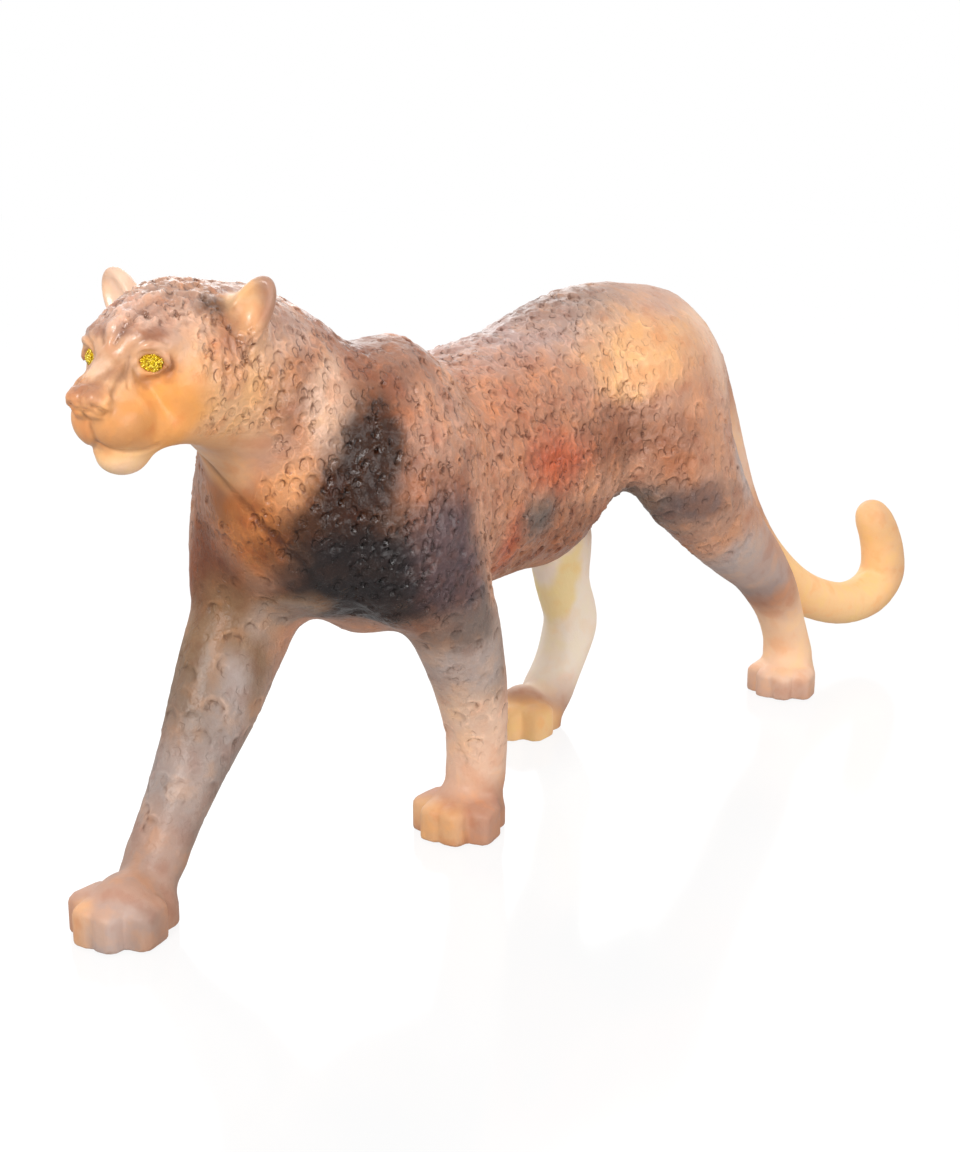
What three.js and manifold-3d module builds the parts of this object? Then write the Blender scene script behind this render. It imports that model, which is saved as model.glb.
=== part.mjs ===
// A panther in mid stride, cast in one piece of glass, with a small grained disc set in each eye.
// Millimetres. The head points to -X, the animal's left flank to -Y, and +Z is up.
// It stands on z = 0, and the origin is under the middle of its outline.
import * as THREE from 'three';
import Module from 'manifold-3d';

// Trunk sections: x, height of the middle, half height, half width.
const TRUNK = [
  [-162.5, 152, 53, 36], [-137.5, 152.5, 58, 42], [-107.5, 152.5, 53, 43], [-77.5, 155.5, 54, 41],
  [-47.5, 158.5, 56, 40], [-17.5, 163, 60.5, 38], [12.5, 174.5, 54.5, 36], [42.5, 183, 46, 36],
  [72.5, 175, 48, 37], [107.5, 165, 32.5, 33],
];
// Neck sections along a line from the shoulders to the skull: distance, rise, half height, half width.
const NECK_FROM = [-142.5, 1, 160];
const NECK_TO = [-232.5, 0, 214];
const NECK = [[0, 1, 48.5, 38], [30, -4, 42.5, 37], [60, 5.5, 37, 31], [90, 8, 32, 26], [112, 5, 29, 22]];

// Limbs and tail, from the body outwards: x, y, z, half depth, half width.
const FRONT_RIGHT_LEG = [
  [-166, 28, 160.5, 30.5, 19], [-179.5, 29, 133.5, 27, 19], [-185.5, 27, 108.5, 23, 18],
  [-196, 26, 92, 21, 16.5], [-205, 24.5, 78, 19.5, 15], [-215.5, 23, 64, 16, 14],
  [-226, 22, 49, 12.5, 13], [-235, 21, 37, 10.5, 12.5], [-248.5, 20, 17, 10, 13],
];
const FRONT_LEFT_LEG = [
  [-148.5, -29, 162, 34, 19], [-144.5, -32, 135, 30, 18], [-130.5, -32, 114.5, 21.5, 17],
  [-120, -30.5, 97, 19.5, 16], [-111.5, -28.5, 80.5, 17, 15], [-103.5, -26, 62.5, 15, 14],
  [-98.5, -24.5, 41, 12, 13], [-98, -23, 17, 11.5, 13],
];
const HIND_RIGHT_LEG = [
  [45.5, 27, 172, 38, 20], [31, 33, 140, 32, 20], [36, 34, 112, 22.5, 17], [46.5, 35, 95, 18.5, 14.5],
  [51, 36, 73, 14.5, 12.5], [60.5, 37, 52, 14.5, 12], [57.5, 37, 41, 13.5, 12], [48.5, 37, 26, 11.5, 12],
  [36, 37, 11, 12, 13],
];
const HIND_LEFT_LEG = [
  [43.5, -26, 173.5, 39, 21], [54.5, -32, 146, 33.5, 20], [73, -36, 121, 25, 18], [87.5, -37, 107, 21.5, 16],
  [105.5, -37, 92.5, 18, 15], [124, -37, 79.5, 15.5, 14], [141, -37, 63.5, 13.5, 13], [152, -37, 49, 11, 12],
  [163.5, -36.5, 29, 10, 12], [168, -36, 14, 14, 13],
];
const TAIL = [
  [97.5, 1, 196, 17, 17], [122, 2, 180, 14.5, 14.5], [137.5, 1, 155.5, 13, 13], [146, -2, 129.5, 12.5, 12.5],
  [154, -7, 104, 11.5, 11.5], [166.5, -13, 79, 11.5, 11.5], [183.5, -19, 59.5, 11.5, 11.5],
  [201.5, -23, 46.5, 11.5, 11.5], [224, -27, 36.5, 11.5, 11.5], [247, -31, 31, 11.5, 11.5],
  [268.5, -35, 33, 12, 12], [282, -37, 43, 12, 12], [277, -39, 58, 11.5, 11.5], [269.5, -39, 72, 10.5, 10.5],
  [260, -39, 82.5, 9.5, 9.5],
];
// Muscle masses: centre, radii, nose-down tilt in degrees.
const MASSES = [
  { at: [-149.5, -25, 165.5], radii: [36, 21, 49.5], tilt: -8 },   // left shoulder
  { at: [-142, -12, 198.5], radii: [20, 14, 18], tilt: 0 },        // left shoulder blade
  { at: [-165.5, 26, 161], radii: [34.5, 20, 41], tilt: -20 },     // right shoulder
  { at: [-160.5, 14, 196], radii: [22, 14, 15], tilt: 0 },         // right shoulder blade
  { at: [-179, 3, 149.5], radii: [33.5, 34, 42], tilt: -30 },      // breast
  { at: [75, 1, 177], radii: [27, 34, 43], tilt: 0 },              // croup
];
// Feet: where each stands, its size against a 48 mm long foot, and how far its toes turn, in degrees.
const FEET = [
  { at: [-266.5, 16], size: 0.9, turn: 8 },
  { at: [-108.5, -22.5], size: 0.89, turn: 6 },
  { at: [16, 37.5], size: 0.9, turn: -4 },
  { at: [158, -38.5], size: 0.83, turn: 4 },
];
const TOES = [[9.7, 5.3, 3], [9.7, -5.3, -3], [1.5, 15, 8], [1.5, -15, -8]];   // forward, outward, turn
const TOE = { half: [4, 0.8, 8.5], round: 5.9, lift: 1.5 };
const SOLE = { half: [8, 6.5, 5], round: 9.5, back: 7, lift: 3 };
const KNUCKLES = { at: [-4, 0, 13], radii: [15, 14, 13] };

// The head's own frame: its place, its turn to the left, its tilt and its lean, in degrees.
const HEAD_AT = [-243.8, 1, 221.5];
const HEAD_TURN = 14;
const HEAD_TILT = -3.7;
const HEAD_LEAN = 1.4;
// Head masses, mirrored across the middle: forward, outward and up of the centre, then radii.
const HEAD_MASSES = [
  { at: [-6.7, 0, 1.5], radii: [31.5, 25.1, 24], turn: 0, blend: 1 },        // skull
  { at: [1, 12.3, -9.2], radii: [23.6, 13.6, 17.1], turn: 0, blend: 9 },     // cheek
  { at: [16.1, 0, 3.6], radii: [19.1, 16.2, 13.3], turn: 0, blend: 8 },      // forehead
  { at: [30.1, 5.3, -21.1], radii: [13.6, 8.6, 10.7], turn: 0, blend: 5 },   // whisker pad
  { at: [30.2, 0, -22.3], radii: [14.9, 11.8, 10.5], turn: 0, blend: 5 },    // upper lip
  { at: [24.3, 10.7, 4.1], radii: [8.4, 6.6, 4.3], turn: -20, blend: 4 },    // brow
  { at: [26.8, 0, -34.5], radii: [10.6, 8.4, 7.3], turn: 0, blend: 4 },      // chin
];
const NOSE_BRIDGE = [[14, 0, 0, 11, 12], [30, 0, -6, 8.4, 8.5], [45, 0, -14.5, 5, 7]];
const JAW = [[26, 4, -28, 5.6, 8.5], [10, 9, -23.6, 8, 9], [-8, 11, -20.1, 12, 10]];
const NOSE = { at: [47.6, 0, -15], radii: [4.5, 6.8, 4.6] };
const EAR = { at: [-11.5, 24.3, 14], radii: [7.5, 11, 15.5], splay: -30 };
const EAR_HOLLOW = { at: [-5.3, 26.3, 15.5], radii: [7.5, 7.4, 11.5], turn: 15, splay: -30 };
const EYE_SOCKET = { at: [29.8, 13, -2.2], radii: [3.6, 5.2, 4.2], turn: 30 };
const EYE = { at: [27.2, 11.9, -2.2], radii: [2.4, 3.7, 3], turn: 30 };
const EYE_GAP = 0.3;

// Fineness of the first surface, and the number of faces kept of it.
const CELL = 2.7;
const FACES_KEPT = 9300;
const HEAD_CARE = 7;      // how much more a change of shape counts on the head
const FOOT_CARE = 2.5;

const REGION = { from: [-301, -64, -17], to: [301, 63, 256] };

// A grid cell's eight corners, and one step along each axis.
const CORNERS = [0, 1, 2, 3, 4, 5, 6, 7].map((c) => [c & 1, (c >> 1) & 1, (c >> 2) & 1]);
const STEPS = [[1, 0, 0], [0, 1, 0], [0, 0, 1]];

const rad = (degrees) => degrees * Math.PI / 180;

function turned(turn, tilt, lean) {
  const [a, b, c] = [rad(turn), rad(tilt), rad(lean)];
  const [ca, cb, cc] = [a, b, c].map(Math.cos);
  const [sa, sb, sc] = [a, b, c].map(Math.sin);
  return [
    [ca * cb, ca * sb * sc - sa * cc, ca * sb * cc + sa * sc],
    [sa * cb, sa * sb * sc + ca * cc, sa * sb * cc - ca * sc],
    [-sb, cb * sc, cb * cc],
  ];
}

function softMin(a, b, k) {
  const h = Math.max(k - Math.abs(a - b), 0) / k;
  return Math.min(a, b) - h * h * k * 0.25;
}
const softMax = (a, b, k) => -softMin(-a, -b, k);

// Each shape below is a function of x, y, z that is negative inside it.
function ellipsoid(at, radii, turn = 0, tilt = 0, lean = 0) {
  const m = turned(turn, tilt, lean);
  const [a, b, c] = radii;
  return (x, y, z) => {
    const [dx, dy, dz] = [x - at[0], y - at[1], z - at[2]];
    const u = (dx * m[0][0] + dy * m[1][0] + dz * m[2][0]) / a;
    const v = (dx * m[0][1] + dy * m[1][1] + dz * m[2][1]) / b;
    const w = (dx * m[0][2] + dy * m[1][2] + dz * m[2][2]) / c;
    const k0 = Math.sqrt(u * u + v * v + w * w) + 1e-9;
    const k1 = Math.sqrt((u * u) / (a * a) + (v * v) / (b * b) + (w * w) / (c * c)) + 1e-9;
    return k0 * (k0 - 1) / k1;
  };
}

function throughPoints(stations, steps) {
  const last = stations.length - 1;
  const before = stations[0].map((v, i) => 2 * v - stations[1][i]);
  const after = stations[last].map((v, i) => 2 * v - stations[last - 1][i]);
  const s = [before, ...stations, after];
  const out = [];
  for (let i = 1; i < s.length - 2; i++) {
    for (let j = 0; j < steps; j++) {
      const t = j / steps;
      out.push(s[i].map((b, k) => {
        const [a, c, d] = [s[i - 1][k], s[i + 1][k], s[i + 2][k]];
        return 0.5 * (2 * b + (c - a) * t + (2 * a - 5 * b + 4 * c - d) * t * t
          + (3 * b - a - 3 * c + d) * t * t * t);
      }));
    }
  }
  out.push(stations[last]);
  return out;
}

// A limb: ovals of the given half depth and half width, run along a smooth line.
function limb(stations, blend = 3) {
  const s = throughPoints(stations, 3);
  const spans = s.slice(1).map((b, i) => {
    const a = s[i];
    const d = [b[0] - a[0], b[1] - a[1], b[2] - a[2]];
    return { a, b, d, len2: Math.max(d[0] * d[0] + d[1] * d[1] + d[2] * d[2], 1e-9) };
  });
  return (x, y, z) => {
    let best = Infinity;
    for (const { a, b, d, len2 } of spans) {
      const [px, py, pz] = [x - a[0], y - a[1], z - a[2]];
      const t = Math.min(Math.max((px * d[0] + py * d[1] + pz * d[2]) / len2, 0), 1);
      const [vx, vy, vz] = [px - t * d[0], py - t * d[1], pz - t * d[2]];
      const r = a[3] + (b[3] - a[3]) * t;
      const q = r / (a[4] + (b[4] - a[4]) * t);
      const flat = vx * vx + vz * vz;
      const m = Math.sqrt(flat + vy * vy * q * q) + 1e-9;
      const g = Math.sqrt(flat + vy * vy * q * q * q * q) + 1e-9;
      const e = (m - r) * m / g;
      best = best === Infinity ? e : softMin(best, e, blend);
    }
    return best;
  };
}

// A smooth curve through the stations' values, with t as their first column.
function along(stations) {
  const n = stations.length;
  const slope = stations.map((row, i) => {
    if (i === 0 || i === n - 1) {
      const [a, b] = i === 0 ? [stations[0], stations[1]] : [stations[n - 2], stations[n - 1]];
      return row.map((_, k) => (b[k] - a[k]) / (b[0] - a[0]));
    }
    const [a, b] = [stations[i - 1], stations[i + 1]];
    const [h0, h1] = [row[0] - a[0], b[0] - row[0]];
    const all = h0 * h1 * (h0 + h1);
    return row.map((v, k) => (h0 * h0 * b[k] + (h1 * h1 - h0 * h0) * v - h1 * h1 * a[k]) / all);
  });
  return (t, k) => {
    let i = 0;
    while (i < n - 2 && t > stations[i + 1][0]) i++;
    const h = stations[i + 1][0] - stations[i][0];
    const s = Math.min(Math.max((t - stations[i][0]) / h, 0), 1);
    const [s2, s3] = [s * s, s * s * s];
    return (2 * s3 - 3 * s2 + 1) * stations[i][k] + (s3 - 2 * s2 + s) * slope[i][k] * h
      + (3 * s2 - 2 * s3) * stations[i + 1][k] + (s3 - s2) * slope[i + 1][k] * h;
  };
}

// Oval sections across a straight line: distance along it, rise, half height, half width.
function loft(stations, from, to, endBlend) {
  const line = new THREE.Vector3(...to).sub(new THREE.Vector3(...from)).normalize();
  const side = new THREE.Vector3(0, 0, 1).cross(line).normalize();
  const up = new THREE.Vector3().crossVectors(line, side);
  const value = along(stations);
  const [first, last] = [stations[0][0], stations[stations.length - 1][0]];
  return (x, y, z) => {
    const [dx, dy, dz] = [x - from[0], y - from[1], z - from[2]];
    const t = dx * line.x + dy * line.y + dz * line.z;
    const v = dx * side.x + dy * side.y + dz * side.z;
    const w = dx * up.x + dy * up.y + dz * up.z - value(t, 1);
    const [a, b] = [value(t, 2), value(t, 3)];
    const m = Math.hypot(v / b, w / a) + 1e-9;
    const g = Math.hypot(v / (b * b), w / (a * a)) + 1e-9;
    const d = softMax(m * (m - 1) / g, first - t, endBlend);
    return softMax(d, t - last, endBlend);
  };
}

function roundBox(half, round) {
  return (x, y, z) => {
    const [a, b, c] = [Math.abs(x) - half[0], Math.abs(y) - half[1], Math.abs(z) - half[2]];
    const out = Math.hypot(Math.max(a, 0), Math.max(b, 0), Math.max(c, 0));
    return out + Math.min(Math.max(a, b, c), 0) - round;
  };
}

function foot({ at, size, turn }) {
  const [c, s] = [Math.cos(rad(turn)), Math.sin(rad(turn))];
  const sole = roundBox(SOLE.half, SOLE.round);
  const knuckles = ellipsoid(KNUCKLES.at, KNUCKLES.radii);
  const toe = roundBox(TOE.half, TOE.round);
  const toes = TOES.map(([forward, outward, angle]) => ({
    forward, outward, c: Math.cos(rad(angle)), s: Math.sin(rad(angle)),
  }));
  return (x, y, z) => {
    const [px, py] = [x - at[0], y - at[1]];
    const u = -(px * c + py * s) / size;
    const v = (px * s - py * c) / size;
    const w = z / size;
    let d = softMin(sole(u + SOLE.back, v, w - SOLE.lift), knuckles(u, v, w), 6);
    for (const t of toes) {
      const [a, b] = [u - t.forward, v - t.outward];
      d = softMin(d, toe(a * t.c + b * t.s, b * t.c - a * t.s, w - TOE.lift), 2.5);
    }
    return d * size;
  };
}

// The head's forward, left and up directions.
function headAxes() {
  const [a, b, c] = [rad(HEAD_TURN), rad(HEAD_TILT), rad(HEAD_LEAN)];
  const level = new THREE.Vector3(-Math.cos(a), -Math.sin(a), 0);
  const flat = new THREE.Vector3(Math.sin(a), -Math.cos(a), 0);
  const z = new THREE.Vector3(0, 0, 1);
  const forward = level.clone().multiplyScalar(Math.cos(b)).addScaledVector(z, -Math.sin(b));
  const rise = z.clone().multiplyScalar(Math.cos(b)).addScaledVector(level, Math.sin(b));
  const left = flat.clone().multiplyScalar(Math.cos(c)).addScaledVector(rise, -Math.sin(c));
  const up = rise.clone().multiplyScalar(Math.cos(c)).addScaledVector(flat, Math.sin(c));
  return { forward, left, up };
}

function head() {
  const { forward, left, up } = headAxes();
  const masses = HEAD_MASSES.map((m) => ({ blend: m.blend, shape: ellipsoid(m.at, m.radii, m.turn) }));
  const bridge = limb(NOSE_BRIDGE, 2);
  const jaw = limb(JAW, 2);
  const nose = ellipsoid(NOSE.at, NOSE.radii);
  const ear = ellipsoid(EAR.at, EAR.radii, 0, 0, EAR.splay);
  const hollow = ellipsoid(EAR_HOLLOW.at, EAR_HOLLOW.radii, EAR_HOLLOW.turn, 0, EAR_HOLLOW.splay);
  const socket = ellipsoid(EYE_SOCKET.at, EYE_SOCKET.radii, EYE_SOCKET.turn);
  return (x, y, z) => {
    const [dx, dy, dz] = [x - HEAD_AT[0], y - HEAD_AT[1], z - HEAD_AT[2]];
    const u = dx * forward.x + dy * forward.y + dz * forward.z;
    const v = Math.abs(dx * left.x + dy * left.y + dz * left.z);
    const w = dx * up.x + dy * up.y + dz * up.z;
    let d = masses[0].shape(u, v, w);
    for (const m of masses.slice(1)) d = softMin(d, m.shape(u, v, w), m.blend);
    d = softMin(d, bridge(u, v, w), 5);
    d = softMin(d, jaw(u, v, w), 6);
    d = softMin(d, nose(u, v, w), 3);
    d = softMin(d, softMax(ear(u, v, w), -hollow(u, v, w), 2), 5);
    return softMax(d, -socket(u, v, w), 2);
  };
}

// A shape that need not be asked about when the point is far from its box.
function near(shape, from, to, reach = 30) {
  return (x, y, z) => {
    const d = Math.max(from[0] - x, x - to[0], from[1] - y, y - to[1], from[2] - z, z - to[2]);
    return d > reach ? d : shape(x, y, z);
  };
}

function nearLimb(stations) {
  const lows = [0, 1, 2].map((k) => Math.min(...stations.map((s) => s[k] - Math.max(s[3], s[4]))));
  const highs = [0, 1, 2].map((k) => Math.max(...stations.map((s) => s[k] + Math.max(s[3], s[4]))));
  return near(limb(stations), lows, highs);
}

function panther() {
  const trunk = loft(TRUNK, [0, 1, 0], [1, 1, 0], 16);
  const neck = loft(NECK, NECK_FROM, NECK_TO, 14);
  const masses = MASSES.map((m) => ellipsoid(m.at, m.radii, 0, m.tilt));
  const legs = [
    [nearLimb(FRONT_RIGHT_LEG), 12], [nearLimb(FRONT_LEFT_LEG), 12],
    [nearLimb(HIND_RIGHT_LEG), 12], [nearLimb(HIND_LEFT_LEG), 14], [nearLimb(TAIL), 9],
  ];
  const feet = FEET.map((f) => {
    const [x, y] = f.at;
    return near(foot(f), [x - 26, y - 24, -14], [x + 26, y + 24, 28]);
  });
  const skull = near(head(), [-297, -40, 175], [-205, 45, 252]);
  return (x, y, z) => {
    let d = softMin(trunk(x, y, z), neck(x, y, z), 18);
    for (const m of masses) d = softMin(d, m(x, y, z), 16);
    for (const [leg, blend] of legs) d = softMin(d, leg(x, y, z), blend);
    for (const f of feet) d = softMin(d, f(x, y, z), 4);
    return softMin(d, skull(x, y, z), 9);
  };
}

// Fill every cell in which two parts of the inside, or of the outside, meet only at a corner or an edge.
function untangle(value, n, at) {
  const pairs = [];
  for (let a = 0; a < 8; a++) for (const bit of [1, 2, 4]) if (!(a & bit)) pairs.push([a, a | bit]);
  const rings = [[0, 1, 3, 2], [4, 5, 7, 6], [0, 1, 5, 4], [2, 3, 7, 6], [0, 2, 6, 4], [1, 3, 7, 5]];
  const parts = (inside) => {
    const group = [0, 1, 2, 3, 4, 5, 6, 7];
    for (let pass = 0; pass < 3; pass++) {
      for (const [a, b] of pairs) {
        if (inside[a] === inside[b]) group[a] = group[b] = Math.min(group[a], group[b]);
      }
    }
    return new Set(group).size;
  };
  for (let changed = true; changed;) {
    changed = false;
    for (let i = 0; i < n[0] - 1; i++) {
      for (let j = 0; j < n[1] - 1; j++) {
        for (let k = 0; k < n[2] - 1; k++) {
          const ids = CORNERS.map((c) => at(i + c[0], j + c[1], k + c[2]));
          const inside = ids.map((id) => value[id] < 0);
          const count = inside.filter((v) => v).length;
          if (count < 2 || count > 6) continue;
          const crossed = rings.some(([a, b, c, d]) => inside[a] === inside[c] && inside[b] === inside[d]
            && inside[a] !== inside[b]);
          if (!crossed && parts(inside) < 3) continue;
          const outside = ids.filter((id) => value[id] >= 0).sort((a, b) => value[a] - value[b]);
          value[outside[0]] = -1e-3;
          changed = true;
        }
      }
    }
  }
}

// The surface where a shape's value is zero, as four-sided faces on a grid of cells.
function skin(shape, { from, to }, cell) {
  const n = from.map((a, k) => Math.ceil((to[k] - a) / cell) + 1);
  const at = (i, j, k) => (i * n[1] + j) * n[2] + k;
  const value = new Float64Array(n[0] * n[1] * n[2]);
  for (let i = 0; i < n[0]; i++) {
    for (let j = 0; j < n[1]; j++) {
      for (let k = 0; k < n[2]; k++) {
        value[at(i, j, k)] = shape(from[0] + i * cell, from[1] + j * cell, from[2] + k * cell);
      }
    }
  }
  untangle(value, n, at);
  const edges = [];
  CORNERS.forEach((a, p) => CORNERS.forEach((b, q) => {
    const apart = Math.abs(a[0] - b[0]) + Math.abs(a[1] - b[1]) + Math.abs(a[2] - b[2]);
    if (p < q && apart === 1) edges.push([a, b]);
  }));
  const points = [];
  const number = new Int32Array(value.length).fill(-1);
  for (let i = 0; i < n[0] - 1; i++) {
    for (let j = 0; j < n[1] - 1; j++) {
      for (let k = 0; k < n[2] - 1; k++) {
        const sum = [0, 0, 0];
        let count = 0;
        for (const [a, b] of edges) {
          const va = value[at(i + a[0], j + a[1], k + a[2])];
          const vb = value[at(i + b[0], j + b[1], k + b[2])];
          if ((va < 0) === (vb < 0)) continue;
          const t = va / (va - vb);
          for (let m = 0; m < 3; m++) sum[m] += a[m] + t * (b[m] - a[m]);
          count++;
        }
        if (count === 0) continue;
        number[at(i, j, k)] = points.length / 3;
        [i, j, k].forEach((o, m) => points.push(from[m] + (o + sum[m] / count) * cell));
      }
    }
  }
  const quads = [];
  for (let i = 1; i < n[0] - 1; i++) {
    for (let j = 1; j < n[1] - 1; j++) {
      for (let k = 1; k < n[2] - 1; k++) {
        const here = value[at(i, j, k)] < 0;
        STEPS.forEach((step, axis) => {
          if ((value[at(i + step[0], j + step[1], k + step[2])] < 0) === here) return;
          const [du, dv] = [STEPS[(axis + 1) % 3], STEPS[(axis + 2) % 3]];
          const quad = [[1, 1], [0, 1], [0, 0], [1, 0]].map(([a, b]) => {
            const [p, q, r] = [0, 1, 2].map((m) => a * du[m] + b * dv[m]);
            return number[at(i - p, j - q, k - r)];
          });
          quads.push(here ? quad : quad.reverse());
        });
      }
    }
  }
  return { points, quads };
}

// Split each four-sided face along its shorter diagonal.
function triangles({ points, quads }) {
  const gap = (a, b) => Math.hypot(...[0, 1, 2].map((k) => points[3 * a + k] - points[3 * b + k]));
  return quads.flatMap(([a, b, c, d]) => (gap(a, c) < gap(b, d) ? [a, b, c, a, c, d] : [a, b, d, b, c, d]));
}

// Merge edges, the least noticed first, until the number of faces asked for is left.
function thinOut(points, faces, keep, care) {
  const count = points.length / 3;
  const pos = Float64Array.from(points);
  const tris = [];
  for (let i = 0; i < faces.length; i += 3) tris.push([faces[i], faces[i + 1], faces[i + 2]]);
  const around = Array.from({ length: count }, () => new Set());
  tris.forEach((t, i) => t.forEach((v) => around[v].add(i)));
  const normal = (a, b, c) => {
    const [ux, uy, uz] = [b[0] - a[0], b[1] - a[1], b[2] - a[2]];
    const [vx, vy, vz] = [c[0] - a[0], c[1] - a[1], c[2] - a[2]];
    return [uy * vz - uz * vy, uz * vx - ux * vz, ux * vy - uy * vx];
  };
  const where = (v) => [pos[3 * v], pos[3 * v + 1], pos[3 * v + 2]];
  const quadric = Array.from({ length: count }, () => new Float64Array(10));
  for (const t of tris) {
    const [a, b, c] = t.map(where);
    const m = normal(a, b, c);
    const len = Math.hypot(...m);
    if (len < 1e-12) continue;
    const [x, y, z] = m.map((v) => v / len);
    const w = -(x * a[0] + y * a[1] + z * a[2]);
    const weight = len * care((a[0] + b[0] + c[0]) / 3, (a[1] + b[1] + c[1]) / 3, (a[2] + b[2] + c[2]) / 3);
    const q = [x * x, x * y, x * z, x * w, y * y, y * z, y * w, z * z, z * w, w * w];
    for (const v of t) for (let k = 0; k < 10; k++) quadric[v][k] += q[k] * weight;
  }
  const error = (q, [x, y, z]) => q[0] * x * x + q[4] * y * y + q[7] * z * z + q[9]
    + 2 * (q[1] * x * y + q[2] * x * z + q[5] * y * z + q[3] * x + q[6] * y + q[8] * z);
  const best = (a, b) => {
    const q = quadric[a].map((v, k) => v + quadric[b][k]);
    const [pa, pb] = [where(a), where(b)];
    const mid = pa.map((v, k) => (v + pb[k]) / 2);
    const len2 = (pa[0] - pb[0]) ** 2 + (pa[1] - pb[1]) ** 2 + (pa[2] - pb[2]) ** 2;
    const options = [mid, pa, pb];
    const minor = [q[4] * q[7] - q[5] * q[5], q[2] * q[5] - q[1] * q[7], q[1] * q[5] - q[2] * q[4]];
    const det = q[0] * minor[0] + q[1] * minor[1] + q[2] * minor[2];
    if (Math.abs(det) > 1e-7 * (q[0] + q[4] + q[7]) ** 3) {
      const s = [-q[3], -q[6], -q[8]];
      const p = [
        (minor[0] * s[0] + minor[1] * s[1] + minor[2] * s[2]) / det,
        (minor[1] * s[0] + (q[0] * q[7] - q[2] * q[2]) * s[1] + (q[1] * q[2] - q[0] * q[5]) * s[2]) / det,
        (minor[2] * s[0] + (q[1] * q[2] - q[0] * q[5]) * s[1] + (q[0] * q[4] - q[1] * q[1]) * s[2]) / det,
      ];
      if ((p[0] - mid[0]) ** 2 + (p[1] - mid[1]) ** 2 + (p[2] - mid[2]) ** 2 < len2) options.unshift(p);
    }
    const scored = options.map((p) => [error(q, p) + 1e-5 * len2, p]);
    return scored.reduce((m, o) => (o[0] < m[0] ? o : m));
  };
  const stamp = new Int32Array(count);
  const heap = [];
  const swap = (i, j) => { [heap[i], heap[j]] = [heap[j], heap[i]]; };
  const push = (item) => {
    heap.push(item);
    for (let i = heap.length - 1; i > 0;) {
      const up = (i - 1) >> 1;
      if (heap[up].cost <= heap[i].cost) break;
      swap(i, up);
      i = up;
    }
  };
  const pop = () => {
    swap(0, heap.length - 1);
    const item = heap.pop();
    for (let i = 0; ;) {
      let low = i;
      for (const c of [2 * i + 1, 2 * i + 2]) if (c < heap.length && heap[c].cost < heap[low].cost) low = c;
      if (low === i) break;
      swap(i, low);
      i = low;
    }
    return item;
  };
  const offer = (a, b) => {
    const [cost, p] = best(a, b);
    push({ cost, p, a, b, sa: stamp[a], sb: stamp[b] });
  };
  const neighbours = (v) => {
    const out = new Set();
    for (const i of around[v]) tris[i].forEach((o) => { if (o !== v) out.add(o); });
    return out;
  };
  for (let v = 0; v < count; v++) for (const o of neighbours(v)) if (v < o) offer(v, o);

  const keepsSides = (a, b, p) => {
    for (const v of [a, b]) {
      for (const i of around[v]) {
        const t = tris[i];
        if (t.includes(a) && t.includes(b)) continue;
        const before = normal(...t.map(where));
        const moved = t.map((o) => (o === v ? p : where(o)));
        const after = normal(...moved);
        const [lb, la] = [Math.hypot(...before), Math.hypot(...after)];
        const dot = before[0] * after[0] + before[1] * after[1] + before[2] * after[2];
        if (dot < 0.35 * lb * la || la < 1e-6) return false;
        const long = Math.max(...moved.map((m, k) => {
          const next = moved[(k + 1) % 3];
          return Math.hypot(m[0] - next[0], m[1] - next[1], m[2] - next[2]);
        }));
        if (la < 0.09 * long * long) return false;
      }
    }
    return true;
  };
  let left = tris.length;
  while (left > keep && heap.length > 0) {
    const { p, a, b, sa, sb } = pop();
    if (stamp[a] !== sa || stamp[b] !== sb) continue;
    const na = neighbours(a);
    const shared = [...neighbours(b)].filter((o) => na.has(o));
    if (shared.length !== 2 || !keepsSides(a, b, p)) continue;
    for (const i of [...around[b]]) {
      const t = tris[i];
      if (t.includes(a)) {
        t.forEach((o) => around[o].delete(i));
        tris[i] = null;
        left--;
      } else {
        t[t.indexOf(b)] = a;
        around[a].add(i);
      }
    }
    around[b].clear();
    stamp[b] = -1;
    stamp[a]++;
    p.forEach((v, k) => { pos[3 * a + k] = v; });
    for (let k = 0; k < 10; k++) quadric[a][k] += quadric[b][k];
    for (const o of neighbours(a)) offer(a, o);
  }
  const renumber = new Map();
  const outPoints = [];
  const outFaces = [];
  for (const t of tris) {
    if (!t) continue;
    for (const v of t) {
      if (!renumber.has(v)) {
        renumber.set(v, outPoints.length / 3);
        outPoints.push(...where(v));
      }
      outFaces.push(renumber.get(v));
    }
  }
  return { points: outPoints, faces: outFaces };
}

const wasm = await Module();
wasm.setup();

function solid(points, faces) {
  return new wasm.Manifold(new wasm.Mesh({
    numProp: 3, vertProperties: Float32Array.from(points), triVerts: Uint32Array.from(faces),
  }));
}

function boxSolid(from, to) {
  const points = [];
  for (const z of [from[2], to[2]]) {
    for (const y of [from[1], to[1]]) {
      for (const x of [from[0], to[0]]) points.push(x, y, z);
    }
  }
  return solid(points, [
    0, 2, 1, 1, 2, 3, 4, 5, 6, 5, 7, 6, 0, 1, 4, 1, 5, 4,
    2, 6, 3, 3, 6, 7, 0, 4, 2, 2, 4, 6, 1, 3, 5, 3, 7, 5,
  ]);
}

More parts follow.
